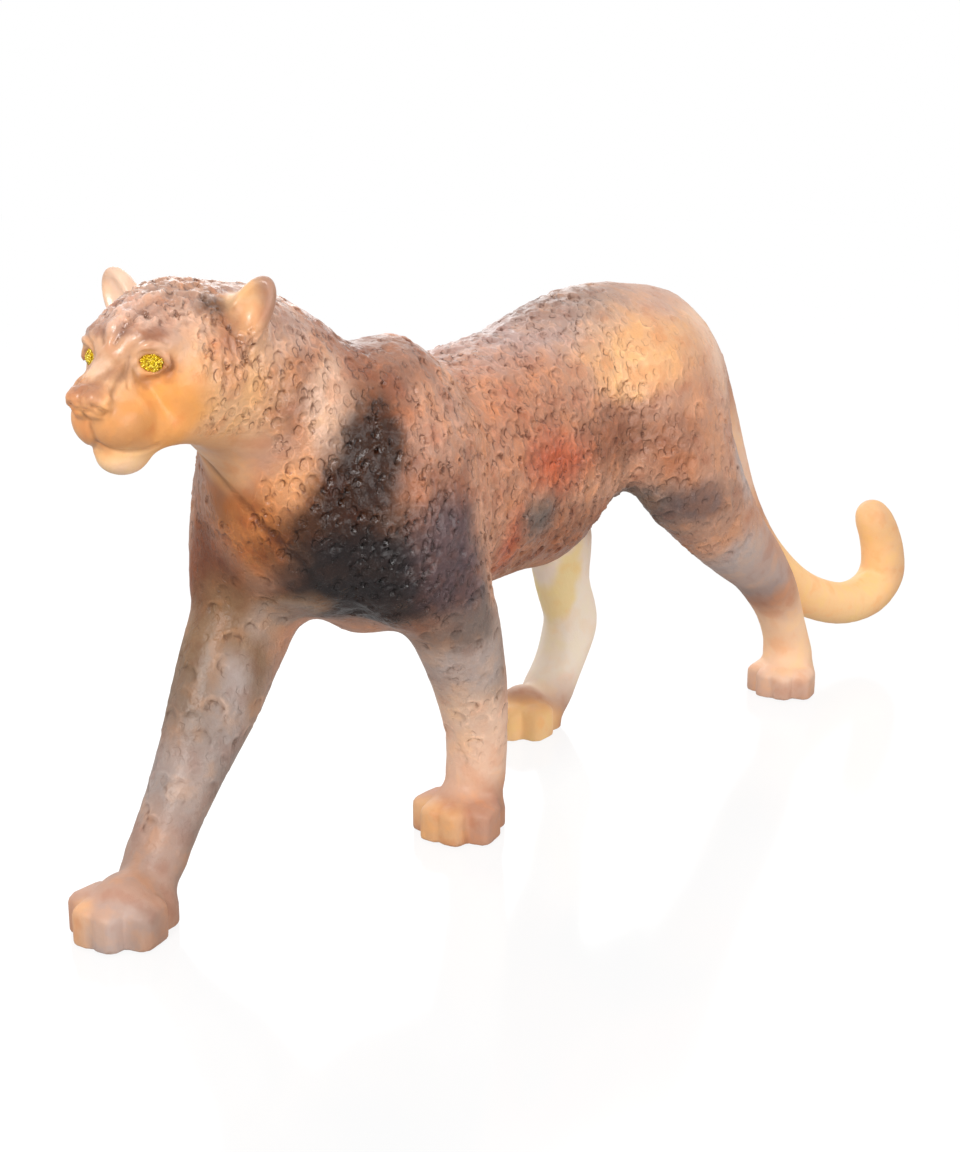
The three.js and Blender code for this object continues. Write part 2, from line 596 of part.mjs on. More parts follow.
// An eye disc's oval, grown all round by the amount given.
function eyeOval(side, grow, rings, spokes) {
  const { forward, left, up } = headAxes();
  const m = turned(side * EYE.turn, 0, 0);
  const place = (u, v, w) => {
    const local = [u, v, w];
    const [f, l, z] = [0, 1, 2].map((k) => m[k][0] * local[0] + m[k][1] * local[1] + m[k][2] * local[2]
      + EYE.at[k] * (k === 1 ? side : 1));
    return ['x', 'y', 'z'].map((c, k) => HEAD_AT[k] + f * forward[c] + l * left[c] + z * up[c]);
  };
  const [a, b, c] = EYE.radii.map((r) => r + grow);
  const points = [...place(a, 0, 0)];
  for (let i = 1; i < rings; i++) {
    const t = Math.PI * i / rings;
    for (let j = 0; j < spokes; j++) {
      const s = 2 * Math.PI * j / spokes;
      points.push(...place(a * Math.cos(t), b * Math.sin(t) * Math.cos(s), c * Math.sin(t) * Math.sin(s)));
    }
  }
  points.push(...place(-a, 0, 0));
  const end = points.length / 3 - 1;
  const faces = [];
  for (let j = 0; j < spokes; j++) {
    const k = (j + 1) % spokes;
    faces.push(0, 1 + j, 1 + k, end, end - spokes + k, end - spokes + j);
    for (let i = 0; i < rings - 2; i++) {
      const [p, q] = [1 + i * spokes, 1 + (i + 1) * spokes];
      faces.push(p + j, q + j, q + k, p + j, q + k, p + k);
    }
  }
  return { points, faces };
}

function geometry(points, faces) {
  const g = new THREE.BufferGeometry();
  g.setAttribute('position', new THREE.Float32BufferAttribute(points, 3));
  g.setIndex(Array.from(faces));
  g.computeVertexNormals();
  return g;
}

function piece(name, g, material) {
  const mesh = new THREE.Mesh(g, material);
  mesh.name = name;
  return mesh;
}

const care = (x, y, z) => {
  if (x < -205 && z > 172) return HEAD_CARE;
  return z < 26 ? FOOT_CARE : 1;
};

const rough = skin(panther(), REGION, CELL);
const thin = thinOut(rough.points, triangles(rough), FACES_KEPT, care);
let cast = solid(thin.points, thin.faces);
cast = cast.subtract(boxSolid([-400, -150, -60], [400, 150, 0]));

const glass = new THREE.MeshStandardMaterial({
  name: 'glass', color: 0xb98f72, roughness: 0.4, metalness: 0,
});
const gold = new THREE.MeshStandardMaterial({
  name: 'gold_grain', color: 0xd9b21c, roughness: 0.45, metalness: 0.6,
});

const group = new THREE.Group();
group.name = 'glass_panther';
for (const [name, side] of [['left_eye', 1], ['right_eye', -1]]) {
  const bed = eyeOval(side, EYE_GAP, 8, 14);
  cast = cast.subtract(solid(bed.points, bed.faces));
  const disc = eyeOval(side, 0, 8, 14);
  group.add(piece(name, geometry(disc.points, disc.faces), gold));
}
const body = cast.getMesh();
group.add(piece('panther', geometry(Array.from(body.vertProperties), body.triVerts), glass));

export default group;
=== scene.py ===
"""A panther in mid stride, cast in one piece of satin glass, with a disc of gold grains in each eye.

The form is one smooth shape worked out in millimetres: oval sections for the trunk and the neck, limbs run
along smooth lines, muscle masses, feet with toes, and a head in a frame of its own. A fine skin is settled
onto it, the head's skin finer still, and the coat's rings are pressed into that skin.
The head points to -X, the animal's left flank to -Y, and the soles stand on z = 0.
"""
import math

import bmesh
import bpy
import numpy as np
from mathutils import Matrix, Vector


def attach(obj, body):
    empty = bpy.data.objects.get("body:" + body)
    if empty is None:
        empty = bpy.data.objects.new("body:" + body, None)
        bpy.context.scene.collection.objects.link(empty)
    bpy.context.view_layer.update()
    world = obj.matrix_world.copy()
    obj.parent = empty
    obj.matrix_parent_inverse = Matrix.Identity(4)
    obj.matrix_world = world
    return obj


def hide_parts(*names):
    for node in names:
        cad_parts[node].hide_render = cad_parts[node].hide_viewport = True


bl_info = {
    "name": "Glass Panther",
    "version": (1, 0, 0),
    "blender": (4, 5, 0),
    "location": "View3D > Sidebar > Panther",
    "description": "Casts a walking panther in run-together glass tints, with a carved coat and gold eyes",
    "category": "Object",
}

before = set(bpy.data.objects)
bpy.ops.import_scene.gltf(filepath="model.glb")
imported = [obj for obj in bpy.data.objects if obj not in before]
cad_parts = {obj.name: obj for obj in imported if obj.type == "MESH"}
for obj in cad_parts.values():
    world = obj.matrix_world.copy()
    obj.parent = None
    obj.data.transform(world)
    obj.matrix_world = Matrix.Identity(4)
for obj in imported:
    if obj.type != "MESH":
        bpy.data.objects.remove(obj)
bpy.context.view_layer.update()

MM = 0.001

# Trunk sections: x, height of the middle, half height, half width.
TRUNK = [
    (-162.5, 152, 53, 36), (-137.5, 152.5, 58, 42), (-107.5, 152.5, 53, 43), (-77.5, 155.5, 54, 41),
    (-47.5, 158.5, 56, 40), (-17.5, 163, 60.5, 38), (12.5, 174.5, 54.5, 36), (42.5, 183, 46, 36),
    (72.5, 175, 48, 37), (107.5, 165, 32.5, 33),
]
# Neck sections along a line from the shoulders to the skull: distance, rise, half height, half width.
NECK_FROM = (-142.5, 1, 160)
NECK_TO = (-232.5, 0, 214)
NECK = [(0, 1, 48.5, 38), (30, -4, 42.5, 37), (60, 5.5, 37, 31), (90, 8, 32, 26), (112, 5, 29, 22)]

# Limbs and tail, from the body outwards: x, y, z, half depth, half width; and how softly each one joins.
FRONT_RIGHT_LEG = [
    (-166, 28, 160.5, 30.5, 19), (-179.5, 29, 133.5, 27, 19), (-185.5, 27, 108.5, 23, 18),
    (-196, 26, 92, 21, 16.5), (-205, 24.5, 78, 19.5, 15), (-215.5, 23, 64, 16, 14),
    (-226, 22, 49, 12.5, 13), (-235, 21, 37, 10.5, 12.5), (-248.5, 20, 17, 10, 13),
]
FRONT_LEFT_LEG = [
    (-148.5, -29, 162, 34, 19), (-144.5, -32, 135, 30, 18), (-130.5, -32, 114.5, 21.5, 17),
    (-120, -30.5, 97, 19.5, 16), (-111.5, -28.5, 80.5, 17, 15), (-103.5, -26, 62.5, 15, 14),
    (-98.5, -24.5, 41, 12, 13), (-98, -23, 17, 11.5, 13),
]
HIND_RIGHT_LEG = [
    (45.5, 27, 172, 38, 20), (31, 33, 140, 32, 20), (36, 34, 112, 22.5, 17), (46.5, 35, 95, 18.5, 14.5),
    (51, 36, 73, 14.5, 12.5), (60.5, 37, 52, 14.5, 12), (57.5, 37, 41, 13.5, 12), (48.5, 37, 26, 11.5, 12),
    (36, 37, 11, 12, 13),
]
HIND_LEFT_LEG = [
    (43.5, -26, 173.5, 39, 21), (54.5, -32, 146, 33.5, 20), (73, -36, 121, 25, 18),
    (87.5, -37, 107, 21.5, 16), (105.5, -37, 92.5, 18, 15), (124, -37, 79.5, 15.5, 14),
    (141, -37, 63.5, 13.5, 13), (152, -37, 49, 11, 12), (163.5, -36.5, 29, 10, 12), (168, -36, 14, 14, 13),
]
TAIL = [
    (97.5, 1, 196, 17, 17), (122, 2, 180, 14.5, 14.5), (137.5, 1, 155.5, 13, 13),
    (146, -2, 129.5, 12.5, 12.5), (154, -7, 104, 11.5, 11.5), (166.5, -13, 79, 11.5, 11.5),
    (183.5, -19, 59.5, 11.5, 11.5), (201.5, -23, 46.5, 11.5, 11.5), (224, -27, 36.5, 11.5, 11.5),
    (247, -31, 31, 11.5, 11.5), (268.5, -35, 33, 12, 12), (282, -37, 43, 12, 12),
    (277, -39, 58, 11.5, 11.5), (269.5, -39, 72, 10.5, 10.5), (260, -39, 82.5, 9.5, 9.5),
]
LIMBS = [(FRONT_RIGHT_LEG, 12), (FRONT_LEFT_LEG, 12), (HIND_RIGHT_LEG, 12), (HIND_LEFT_LEG, 14), (TAIL, 9)]

# Muscle masses: centre, radii, nose-down tilt in degrees.
MASSES = [
    ((-149.5, -25, 165.5), (36, 21, 49.5), -8),    # left shoulder
    ((-142, -12, 198.5), (20, 14, 18), 0),         # left shoulder blade
    ((-165.5, 26, 161), (34.5, 20, 41), -20),      # right shoulder
    ((-160.5, 14, 196), (22, 14, 15), 0),          # right shoulder blade
    ((-179, 3, 149.5), (33.5, 34, 42), -30),       # breast
    ((75, 1, 177), (27, 34, 43), 0),               # croup
]

# Feet: where each stands, its size against a 48 mm long foot, and how far its toes turn, in degrees.
FEET = [
    ((-266.5, 16), 0.9, 8),
    ((-108.5, -22.5), 0.89, 6),
    ((16, 37.5), 0.9, -4),
    ((158, -38.5), 0.83, 4),
]
TOES = [(9.7, 5.3, 3), (9.7, -5.3, -3), (1.5, 15, 8), (1.5, -15, -8)]     # forward, outward, turn
TOE_HALF, TOE_ROUND, TOE_LIFT = (5, 1.7, 12.5), 4.9, 1.5
SOLE_HALF, SOLE_ROUND, SOLE_BACK, SOLE_LIFT = (8, 6.5, 5), 9.5, 7, 3
KNUCKLES_AT, KNUCKLES_RADII = (-4, 0, 13), (15, 14, 13)

# The head's own frame: its place, its turn to the left, its tilt and its lean, in degrees.
HEAD_AT = (-243.8, 1, 221.5)
HEAD_TURN, HEAD_TILT, HEAD_LEAN = 14, -3.7, 1.4
HEAD_BOX = ((-299, -44, 172), (-198, 48, 254))

# The fold that runs from the throat down across the breast to the shoulder, and how deep and wide it is.
BREAST_FOLD = [
    (-222, 12, 182), (-218, -1, 167), (-215, -7, 161), (-212, -11, 154), (-207, -17, 146), (-201, -21, 138),
    (-192, -21, 126),
]
FOLD_DEPTH, FOLD_WIDTH = 1.9, 1.5

# Head masses, mirrored across the middle: forward, outward and up of the centre; radii; turn; blend.
HEAD_MASSES = [
    ((-6.7, 0, 1.5), (31.5, 25.1, 24), 0, 1),            # skull
    ((1, 12.3, -9.2), (23.6, 13.6, 17.1), 0, 9),         # cheek
    ((16.1, 0, 3.6), (19.1, 16.2, 13.3), 0, 8),          # forehead
    ((30.1, 5.3, -21.1), (13.6, 8.6, 10.7), 0, 5),       # whisker pad
    ((30.2, 0, -22.3), (14.9, 11.8, 10.5), 0, 5),        # upper lip
    ((24.3, 10.7, 4.1), (8.4, 6.6, 4.3), -20, 4),        # brow
    ((26.8, 0, -34.5), (10.6, 8.4, 7.3), 0, 4),          # chin
]
NOSE_BRIDGE = [(14, 0, 0, 11, 12), (30, 0, -6, 8.4, 8.5), (45, 0, -14.5, 5, 7)]
JAW = [(26, 4, -28, 5.6, 8.5), (10, 9, -23.6, 8, 9), (-8, 11, -20.1, 12, 10)]
NOSE_AT, NOSE_HALF, NOSE_ROUND, NOSE_TILT = (45, 0, -14), (3.4, 4.2, 2), 2.4, 30
EAR_AT, EAR_RADII, EAR_SPLAY = (-11.5, 26.6, 14.6), (6, 7.6, 14.8), -30
EAR_HOLLOW_AT, EAR_HOLLOW_RADII, EAR_HOLLOW_TURN = (-5, 28.4, 15), (5.2, 5.8, 12.6), 15
SOCKET_AT, SOCKET_RADII = (29.8, 13, -2.2), (3.6, 5.2, 4.2)
EYE_AT, EYE_RADII, EYE_TURN = (27.2, 11.9, -2.2), (2.4, 3.7, 3), 30

# Strokes carved in the head and mirrored: depth in mm, width in mm, and points forward, outward and up.
# A stroke of negative depth stands proud.
HEAD_STROKES = {
    "brow furrow": (1.9, 1.2, [(35.2, 2.5, 4), (33.5, 4.1, 7.9), (29.7, 5, 12),
                               (24.6, 5.8, 15), (16, 6.6, 18.6)]),
    "inner brow ridge": (-1.1, 1.3, [(33.5, 0.6, 8), (27, 1.6, 14.5), (20, 2.2, 18.2), (13, 3, 20.6)]),
    "brow hair": (1.2, 0.8, [(27, 8.6, 11.5), (22, 9.2, 14.5), (16, 10.5, 16.5)]),
    "upper brow hair": (1.1, 0.8, [(24, 12, 9.8), (18, 13, 13), (12, 14, 15.2)]),
    "outer brow hair": (1.0, 0.8, [(20, 16, 8.6), (14, 17.5, 11), (8, 18.5, 13)]),
    "temple hair": (1.1, 0.9, [(10.7, 18, 13), (6, 18.5, 16), (0, 19, 18)]),
    "crown hair": (1.0, 0.9, [(12, 7.5, 19.8), (4, 8.5, 22.5), (-4, 9.5, 23.5)]),
    "middle of the crown": (0.9, 0.9, [(16, 0, 20), (6, 0, 23.8), (-4, 0, 25)]),
    "lid crease": (1.3, 1.1, [(33.6, 7, -1.5), (33.4, 8.6, 2.6), (31.5, 11.8, 5.4),
                              (29, 14.8, 6.2), (25.8, 17.4, 4.6)]),
    "below the eye": (0.7, 1.3, [(32.4, 6.9, -5), (30, 9.2, -8.2), (27.4, 12.4, -8.6),
                                 (24.6, 15.6, -6.6), (23.2, 17.8, -2)]),
    "tear line": (0.6, 0.8, [(33.4, 6.6, -3.4), (35.4, 6.8, -7.2), (36, 8, -10.5)]),
    "cheek crease": (0.35, 1.4, [(25, 16, -9.5), (22.5, 17.5, -12), (21.5, 18, -16)]),
    "nostril": (1.7, 1.0, [(46.2, 6.9, -18.2), (48.6, 6, -17.4), (50.6, 4.4, -16.4)]),
    "under the nose": (1.1, 0.9, [(51.3, 0, -18.6), (50.4, 3.1, -18.4), (48.5, 5, -19), (46, 6.6, -19.4)]),
    "nose top": (0.6, 0.9, [(46.5, 0, -9.6), (46.4, 2.6, -9.8), (45.6, 5, -11)]),
    "nose middle": (0.7, 0.7, [(50.4, 0, -11.6), (51.9, 0, -14.5), (51.6, 0, -17)]),
    "philtrum": (1.5, 0.9, [(50, 0, -19.4), (47, 0, -23), (44.8, 0, -26.8), (42.3, 0, -29.8)]),
    "side fold": (1.2, 1.2, [(33.5, 6.6, -3), (36.7, 7.2, -6.8), (40.5, 7.4, -9.8), (43.6, 7.6, -12.8)]),
    "whisker pad top": (0.5, 1.6, [(43, 8, -14.2), (40, 9.8, -15), (35.6, 11.8, -14.9)]),
    "whisker pad back": (0.2, 2.0, [(31.4, 10.9, -12.5), (27.9, 13.2, -16.5), (27.1, 14.4, -22),
                                    (27.9, 14, -27)]),
    "mouth": (1.0, 1.0, [(42.4, 0, -30.3), (38.8, 3.5, -31.4), (36.2, 6.3, -32.1),
                         (31.6, 9.9, -32.3), (25, 13.4, -31)]),
    "bridge groove": (0.9, 0.9, [(30, 4.2, 0.5), (36, 4.4, -3.2), (41.3, 4, -6.3), (45.2, 4.6, -10)]),
    "nostril wing": (-1.0, 1.5, [(45.8, 7, -13.6), (47.4, 7.4, -15.4), (46.2, 7.4, -17.6)]),
    "ear root": (0.9, 1.4, [(-3, 18, 16), (-1.5, 21, 12.5), (-2, 24, 8), (-5, 26.5, 5)]),
}

# How deep under the head's bare form a stroke can reach, in mm.
STROKE_REACH = 2.5

# How softly the parts join and their ends are rounded, in mm.
TRUNK_END, NECK_END, NECK_JOIN, MASS_JOIN, FOOT_JOIN, HEAD_JOIN, SOLE_EDGE = 16, 14, 18, 16, 4, 9, 1.0
BRIDGE_JOIN, JAW_JOIN, NOSE_JOIN, EAR_JOIN, HOLLOW_EDGE, SOCKET_EDGE, LID_JOIN = 5, 6, 3, 5, 2, 1.5, 1.2
KNUCKLE_JOIN, TOE_JOIN = 6, 1.6

# The box round a foot, from where it stands, and how far outside its box a foot or the head still counts.
FOOT_BOX = ((-26, -24, -14), (26, 24, 28))
FOOT_REACH, HEAD_REACH = 12, 14

# Parts of the head in its own frame, in mm: where the skin is finer, and where it is finest.
HEAD_BACK, HEAD_HALF_WIDTH, HEAD_HALF_HEIGHT = -24, 40, 46
FACE_BACK, FACE_HALF_WIDTH, FACE_FLOOR, FACE_TOP = 24, 30, -22, 6

# Where each kind of carving shows, as soft ovals: centre and radii in mm, the last five in the head's own
# frame.
LEFT_SHOULDER = ((-166, -34, 160), (34, 40, 52))
RIGHT_SHOULDER = ((-176, 26, 158), (30, 30, 48))
THIGH = ((52, -30, 150), (58, 60, 78))
RIBS = ((-30, -34, 136), (42, 40, 26))
HIPS = ((50, 0, 200), (50, 70, 40))
TEMPLES = ((0, 23, 4), (17, 15, 16))
EARS = ((-11, 28, 22), (14, 13, 14))
FOREHEAD = ((22, 0, 14), (16, 20, 9))
NOSE_PAD = ((46, 0, -11), (6, 8, 5))
CROWN = ((6, 0, 20), (26, 22, 10))
OVAL_EDGE = 0.35

# Where the carving fades in, in mm: along the animal, above the floor, or round the tail's root.
TRUNK_FRONT, TRUNK_FLOOR, TRUNK_REAR = (-172, -140), (96, 122), (128, 108)
TAIL_ROOT, TAIL_ROOT_BARE, TAIL_SIDE = (135, 150), (30, 55), (200, 110)
HIND_PART = (0, 50)
NECK_REAR, NECK_FLOOR, NECK_FRONT = (-148, -172), (128, 150), -215
CHEEK_BACK, JAW_FLOOR = (16, 0), (-34, -24)
LEG_FRONT, LEG_REAR, LEG_FADE, LEG_FLOOR, LEG_TOP = -262, -70, (-70, -95), (16, 40), (158, 132)

# How strongly the carving shows in the parts where it is fainter.
LEG_SHARE, RIBS_SHARE, CROWN_SHARE, FOREHEAD_SHARE, NOSE_SHARE = 0.8, 0.55, 0.9, 0.75, 0.3
HIPS_LESS, HIND_LESS, SHOULDER_LESS, TEMPLE_LESS = 0.4, 0.4, 0.7, 0.8

# How much the nicks are held back on the legs, and how much painted shade darkens the breast's fold and the
# head's strokes, with painted highlight on the strokes that stand proud.
LEG_NICKS_LESS, FOLD_SHADE, STROKE_SHADE = 0.5, 0.6, 0.45

# The way the coat lies on the back, the nape and the limbs, and where the nape's and the limbs' ways set in:
# along the animal and above the floor, in mm.
BACK_LIE, NAPE_LIE, LIMB_LIE = np.array([(1.0, 0, -0.12), (0.75, 0, -0.66), (0.1, 0, -1.0)])
NAPE_START, LIMB_START = (-150, -185), (140, 105)

# How each kind is pressed in: the ring it takes its radius from and its share of it, the rings' spacing in
# radii, their depth against a plain ring's, their stretch along the coat, and the swells' height in mm and
# number in a metre.
COAT = {
    "coat_body": ("body_ring", 1, 1.75, 1.25, 1.1, 2.8, 120.0),
    "coat_neck": ("neck_ring", 1, 2.0, 0.62, 1.0, 0.8, 110.0),
    "coat_leg": ("leg_ring", 1, 2.3, 0.4, 1.0, 0.3, 80.0),
    "coat_dents": ("dent", 1, 1.6, 1.5, 1.8, 3.4, 200.0),
    "coat_fur": ("dent", 0.8, 2.0, 1.5, 1.8, 4.6, 250.0),
}
COAT_SEED = 7

# What is drawn for each ring: its size and its depth against the others, the way it opens in radians, and
# how high the button in its middle stands.
RING_SIZES, RING_DEPTHS, RING_TURNS, RING_BUTTONS = (0.8, 1.2), (0.55, 1.35), (1.9, 4.4), (-0.5, 1.0)

# A ring's section in radii: where its wall rises, and the middle and width of the painted shade in its
# crease, of its raised lip and of the button in its middle. Then the height of the lip and of the button
# against the ring's depth.
RING_WALL, RING_CREASE, RING_LIP, BUTTON = (1.12, 0.8), (0.98, 0.16), (1.25, 0.2), (0.0, 0.5)
LIP_HEIGHT, BUTTON_HEIGHT = 0.35, 0.7

# How much of a bed's depth is even and how much of it slants, and from where a ring's edge is open.
BED_EVEN, BED_SLANT = 0.55, 0.45
RING_OPENING = (-0.9, 0.5)

# How the rings' outlines waver: waves in a metre, the least radius and what is added to it.
WAVER, WAVER_LEAST, WAVER_MORE = 240.0, 0.7, 0.6

# The swells between the rings: their stretch upwards and their detail.
SWELL_STRETCH, SWELL_DETAIL = 0.5, 2.5

# How much painted highlight the lip and the button get, and how much painted shade each metre of a swell's
# depth gives in its hollows, with painted highlight on its tops.
LIP_LIGHT, BUTTON_LIGHT, SWELL_SHADE = 0.6, 0.4, 500.0

# The gold grains: how far apart they sit in radii, and their sizes against the plain one.
GRAIN_SPACING, GRAIN_SIZES = 1.25, (0.7, 1.2)
GRAIN_SEED = 3

# The most rings and grains that are tried in a square metre.
RINGS_TRIED, GRAINS_TRIED = 60000.0, 4000000.0


def turned(turn, tilt, lean):
    """A turn about up, a tilt about the side and a lean about forward, as one matrix."""
    a, b, c = np.radians([turn, tilt, lean])
    about_up = np.array([[np.cos(a), -np.sin(a), 0], [np.sin(a), np.cos(a), 0], [0, 0, 1]])
    about_side = np.array([[np.cos(b), 0, np.sin(b)], [0, 1, 0], [-np.sin(b), 0, np.cos(b)]])
    about_forward = np.array([[1, 0, 0], [0, np.cos(c), -np.sin(c)], [0, np.sin(c), np.cos(c)]])
    return about_up @ about_side @ about_forward


def soft_min(a, b, blend):
    near = np.maximum(blend - np.abs(a - b), 0) / blend
    return np.minimum(a, b) - near * near * blend * 0.25


def soft_max(a, b, blend):
    return -soft_min(-a, -b, blend)


def ellipsoid(p, at, radii, turn=0, tilt=0, lean=0):
    """Distance to an oval mass, negative inside it, as every form below is."""
    v = (p - np.array(at, float)) @ turned(turn, tilt, lean)
    r = np.array(radii, float)
    size = np.linalg.norm(v / r, axis=1) + 1e-9
    return size * (size - 1) / (np.linalg.norm(v / r ** 2, axis=1) + 1e-9)


def through(stations, steps):
    """Points on a smooth line through the stations."""
    s = np.array(stations, float)
    s = np.vstack([2 * s[0] - s[1], s, 2 * s[-1] - s[-2]])
    out = []
    for a, b, c, d in zip(s, s[1:], s[2:], s[3:]):
        for t in np.arange(steps) / steps:
            out.append(0.5 * (2 * b + (c - a) * t + (2 * a - 5 * b + 4 * c - d) * t * t
                              + (3 * b - a - 3 * c + d) * t ** 3))
    return np.array(out + [s[-2]])


def far(p, low, high, reach):
    """Whether all the points are further than the reach from a box."""
    return (p.min(axis=0) - high > reach).any() or (low - p.max(axis=0) > reach).any()


def limb(p, stations, blend=3, steps=3, reach=12):
    """Ovals of the given half depth and half width, run along a smooth line."""
    s = through(stations, steps)
    best = np.full(len(p), 1e3)
    for a, b in zip(s, s[1:]):
        wide = max(*a[3:], *b[3:])
        if far(p, np.minimum(a, b)[:3] - wide, np.maximum(a, b)[:3] + wide, reach):
            continue
        run = b[:3] - a[:3]
        t = np.clip((p - a[:3]) @ run / max(run @ run, 1e-9), 0, 1)
        v = p - a[:3] - t[:, None] * run
        depth = a[3] + (b[3] - a[3]) * t
        ratio = depth / (a[4] + (b[4] - a[4]) * t)
        flat = v[:, 0] ** 2 + v[:, 2] ** 2
        size = np.sqrt(flat + (v[:, 1] * ratio) ** 2) + 1e-9
        d = (size - depth) * size / (np.sqrt(flat + (v[:, 1] * ratio ** 2) ** 2) + 1e-9)
        best = soft_min(best, d, blend)
    return best


def along(t, stations):
    """Values of a smooth curve through the stations, whose first column is the distance."""
    s = np.array(stations, float)
    knots, values = s[:, 0], s[:, 1:]
    slopes = np.gradient(values, knots, axis=0)
    i = np.clip(np.searchsorted(knots, t) - 1, 0, len(knots) - 2)
    h = (knots[i + 1] - knots[i])[:, None]
    u = np.clip((t - knots[i])[:, None] / h, 0, 1)
    return ((2 * u ** 3 - 3 * u ** 2 + 1) * values[i] + (u ** 3 - 2 * u ** 2 + u) * slopes[i] * h
            + (3 * u ** 2 - 2 * u ** 3) * values[i + 1] + (u ** 3 - u ** 2) * slopes[i + 1] * h)


def loft(p, stations, start, end, end_blend):
    """Oval sections across a straight line: distance along it, rise, half height, half width."""
    line = np.array(end, float) - start
    line /= np.linalg.norm(line)
    side = np.cross((0, 0, 1), line)
    side /= np.linalg.norm(side)
    q = p - np.array(start, float)
    t = q @ line
    rise, high, wide = along(t, stations).T
    v, w = q @ side, q @ np.cross(line, side) - rise
    size = np.hypot(v / wide, w / high) + 1e-9
    d = size * (size - 1) / (np.hypot(v / wide ** 2, w / high ** 2) + 1e-9)
    d = soft_max(d, stations[0][0] - t, end_blend)
    return soft_max(d, t - stations[-1][0], end_blend)


def round_box(p, half, rounding):
    v = np.abs(p) - np.array(half)
    return np.linalg.norm(np.maximum(v, 0), axis=1) + np.minimum(v.max(axis=1), 0) - rounding


def foot(p, at, size, turn):
    a = math.radians(turn)
    x, y = p[:, 0] - at[0], p[:, 1] - at[1]
    forward = -(x * math.cos(a) + y * math.sin(a))
    outward = x * math.sin(a) - y * math.cos(a)
    q = np.stack([forward, outward, p[:, 2]], 1) / size
    d = soft_min(round_box(q - (-SOLE_BACK, 0, SOLE_LIFT), SOLE_HALF, SOLE_ROUND),
                 ellipsoid(q, KNUCKLES_AT, KNUCKLES_RADII), KNUCKLE_JOIN)
    for toe_forward, toe_outward, toe_turn in TOES:
        toe = (q - (toe_forward, toe_outward, TOE_LIFT)) @ turned(toe_turn, 0, 0)
        d = soft_min(d, round_box(toe, TOE_HALF, TOE_ROUND), TOE_JOIN)
    return d * size


def head_axes():
    """The head's forward, left and up directions."""
    a, b, c = np.radians([HEAD_TURN, HEAD_TILT, HEAD_LEAN])
    level = np.array([-np.cos(a), -np.sin(a), 0])
    flat = np.array([np.sin(a), -np.cos(a), 0])
    z = np.array([0, 0, 1.0])
    rise = z * np.cos(b) + level * np.sin(b)
    return np.stack([level * np.cos(b) - z * np.sin(b), flat * np.cos(c) - rise * np.sin(c),
                     rise * np.cos(c) + flat * np.sin(c)])


def mirrored_head(p):
    """Points in the head's own frame, its right half folded onto its left."""
    q = (p - np.array(HEAD_AT)) @ head_axes().T
    return np.stack([q[:, 0], np.abs(q[:, 1]), q[:, 2]], 1)


def on_head(forward, outward, up):
    """A place in the head's own frame, in the whole animal's."""
    return tuple(np.round(np.array(HEAD_AT) + np.array([forward, outward, up]) @ head_axes(), 1))


def gap_to_line(p, points, steps=3, reach=4):
    """How far each point is from a smooth line, where that is within reach."""
    best = np.full(len(p), 1e3)
    s = through(points, steps)
    if not len(p) or far(p, s.min(axis=0), s.max(axis=0), reach):
        return best
    for a, b in zip(s, s[1:]):
        run = b - a
        t = np.clip((p - a) @ run / max(run @ run, 1e-9), 0, 1)
        best = np.minimum(best, np.linalg.norm(p - a - t[:, None] * run, axis=1))
    return best


def eye_arc(high, wide, start, end, lift, count=9):
    """Points on an oval round the eye, from one angle to another, lifted off the disc's middle."""
    turn = turned(EYE_TURN, 0, 0)
    angles = np.radians(np.linspace(start, end, count))
    return [np.array(EYE_AT) + turn @ (lift, wide * np.cos(a), high * np.sin(a)) for a in angles]


def bare_head(q):
    """The head before any stroke is carved, at points in its own frame, the left half mirrored."""
    d = None
    for at, radii, turn, blend in HEAD_MASSES:
        mass = ellipsoid(q, at, radii, turn)
        d = mass if d is None else soft_min(d, mass, blend)
    d = soft_min(d, limb(q, NOSE_BRIDGE, 2), BRIDGE_JOIN)
    d = soft_min(d, limb(q, JAW, 2), JAW_JOIN)
    nose = (q - np.array(NOSE_AT)) @ turned(0, NOSE_TILT, 0)
    d = soft_min(d, round_box(nose, NOSE_HALF, NOSE_ROUND), NOSE_JOIN)
    ear = ellipsoid(q, EAR_AT, EAR_RADII, lean=EAR_SPLAY)
    hollow = ellipsoid(q, EAR_HOLLOW_AT, EAR_HOLLOW_RADII, EAR_HOLLOW_TURN, lean=EAR_SPLAY)
    d = soft_min(d, soft_max(ear, -hollow, HOLLOW_EDGE), EAR_JOIN)
    d = soft_max(d, -ellipsoid(q, SOCKET_AT, SOCKET_RADII, EYE_TURN), SOCKET_EDGE)
    for radius, line in LIDS:
        d = soft_min(d, gap_to_line(q, line, 1) - radius, LID_JOIN)
    return d


def laid(points, rounds=4, probe=0.05):
    """A smooth line through the points, dropped onto the bare head."""
    line = through(points, 3)
    for _ in range(rounds):
        d = bare_head(line)
        slope = np.stack([bare_head(line + probe * axis) - d for axis in np.eye(3)], 1) / probe
        line = line - d[:, None] * slope / np.maximum((slope ** 2).sum(axis=1), 0.2)[:, None]
    return line


LIDS = [(1.15, eye_arc(4.2, 5.6, 185, -25, 1.1)), (0.55, eye_arc(3.8, 4.9, 200, 345, 0.4))]
STROKES = [(depth, width, laid(points)) for depth, width, points in HEAD_STROKES.values()]


def strokes(q):
    """How deep the head is carved at points in its own frame; what stands proud is negative."""
    return sum(depth * np.exp(-(gap_to_line(q, line, 1) / width) ** 2) for depth, width, line in STROKES)


def head(p):
    q = mirrored_head(p)
    d = bare_head(q)
    skin_deep = np.abs(d) < STROKE_REACH
    d[skin_deep] += strokes(q[skin_deep])
    return d


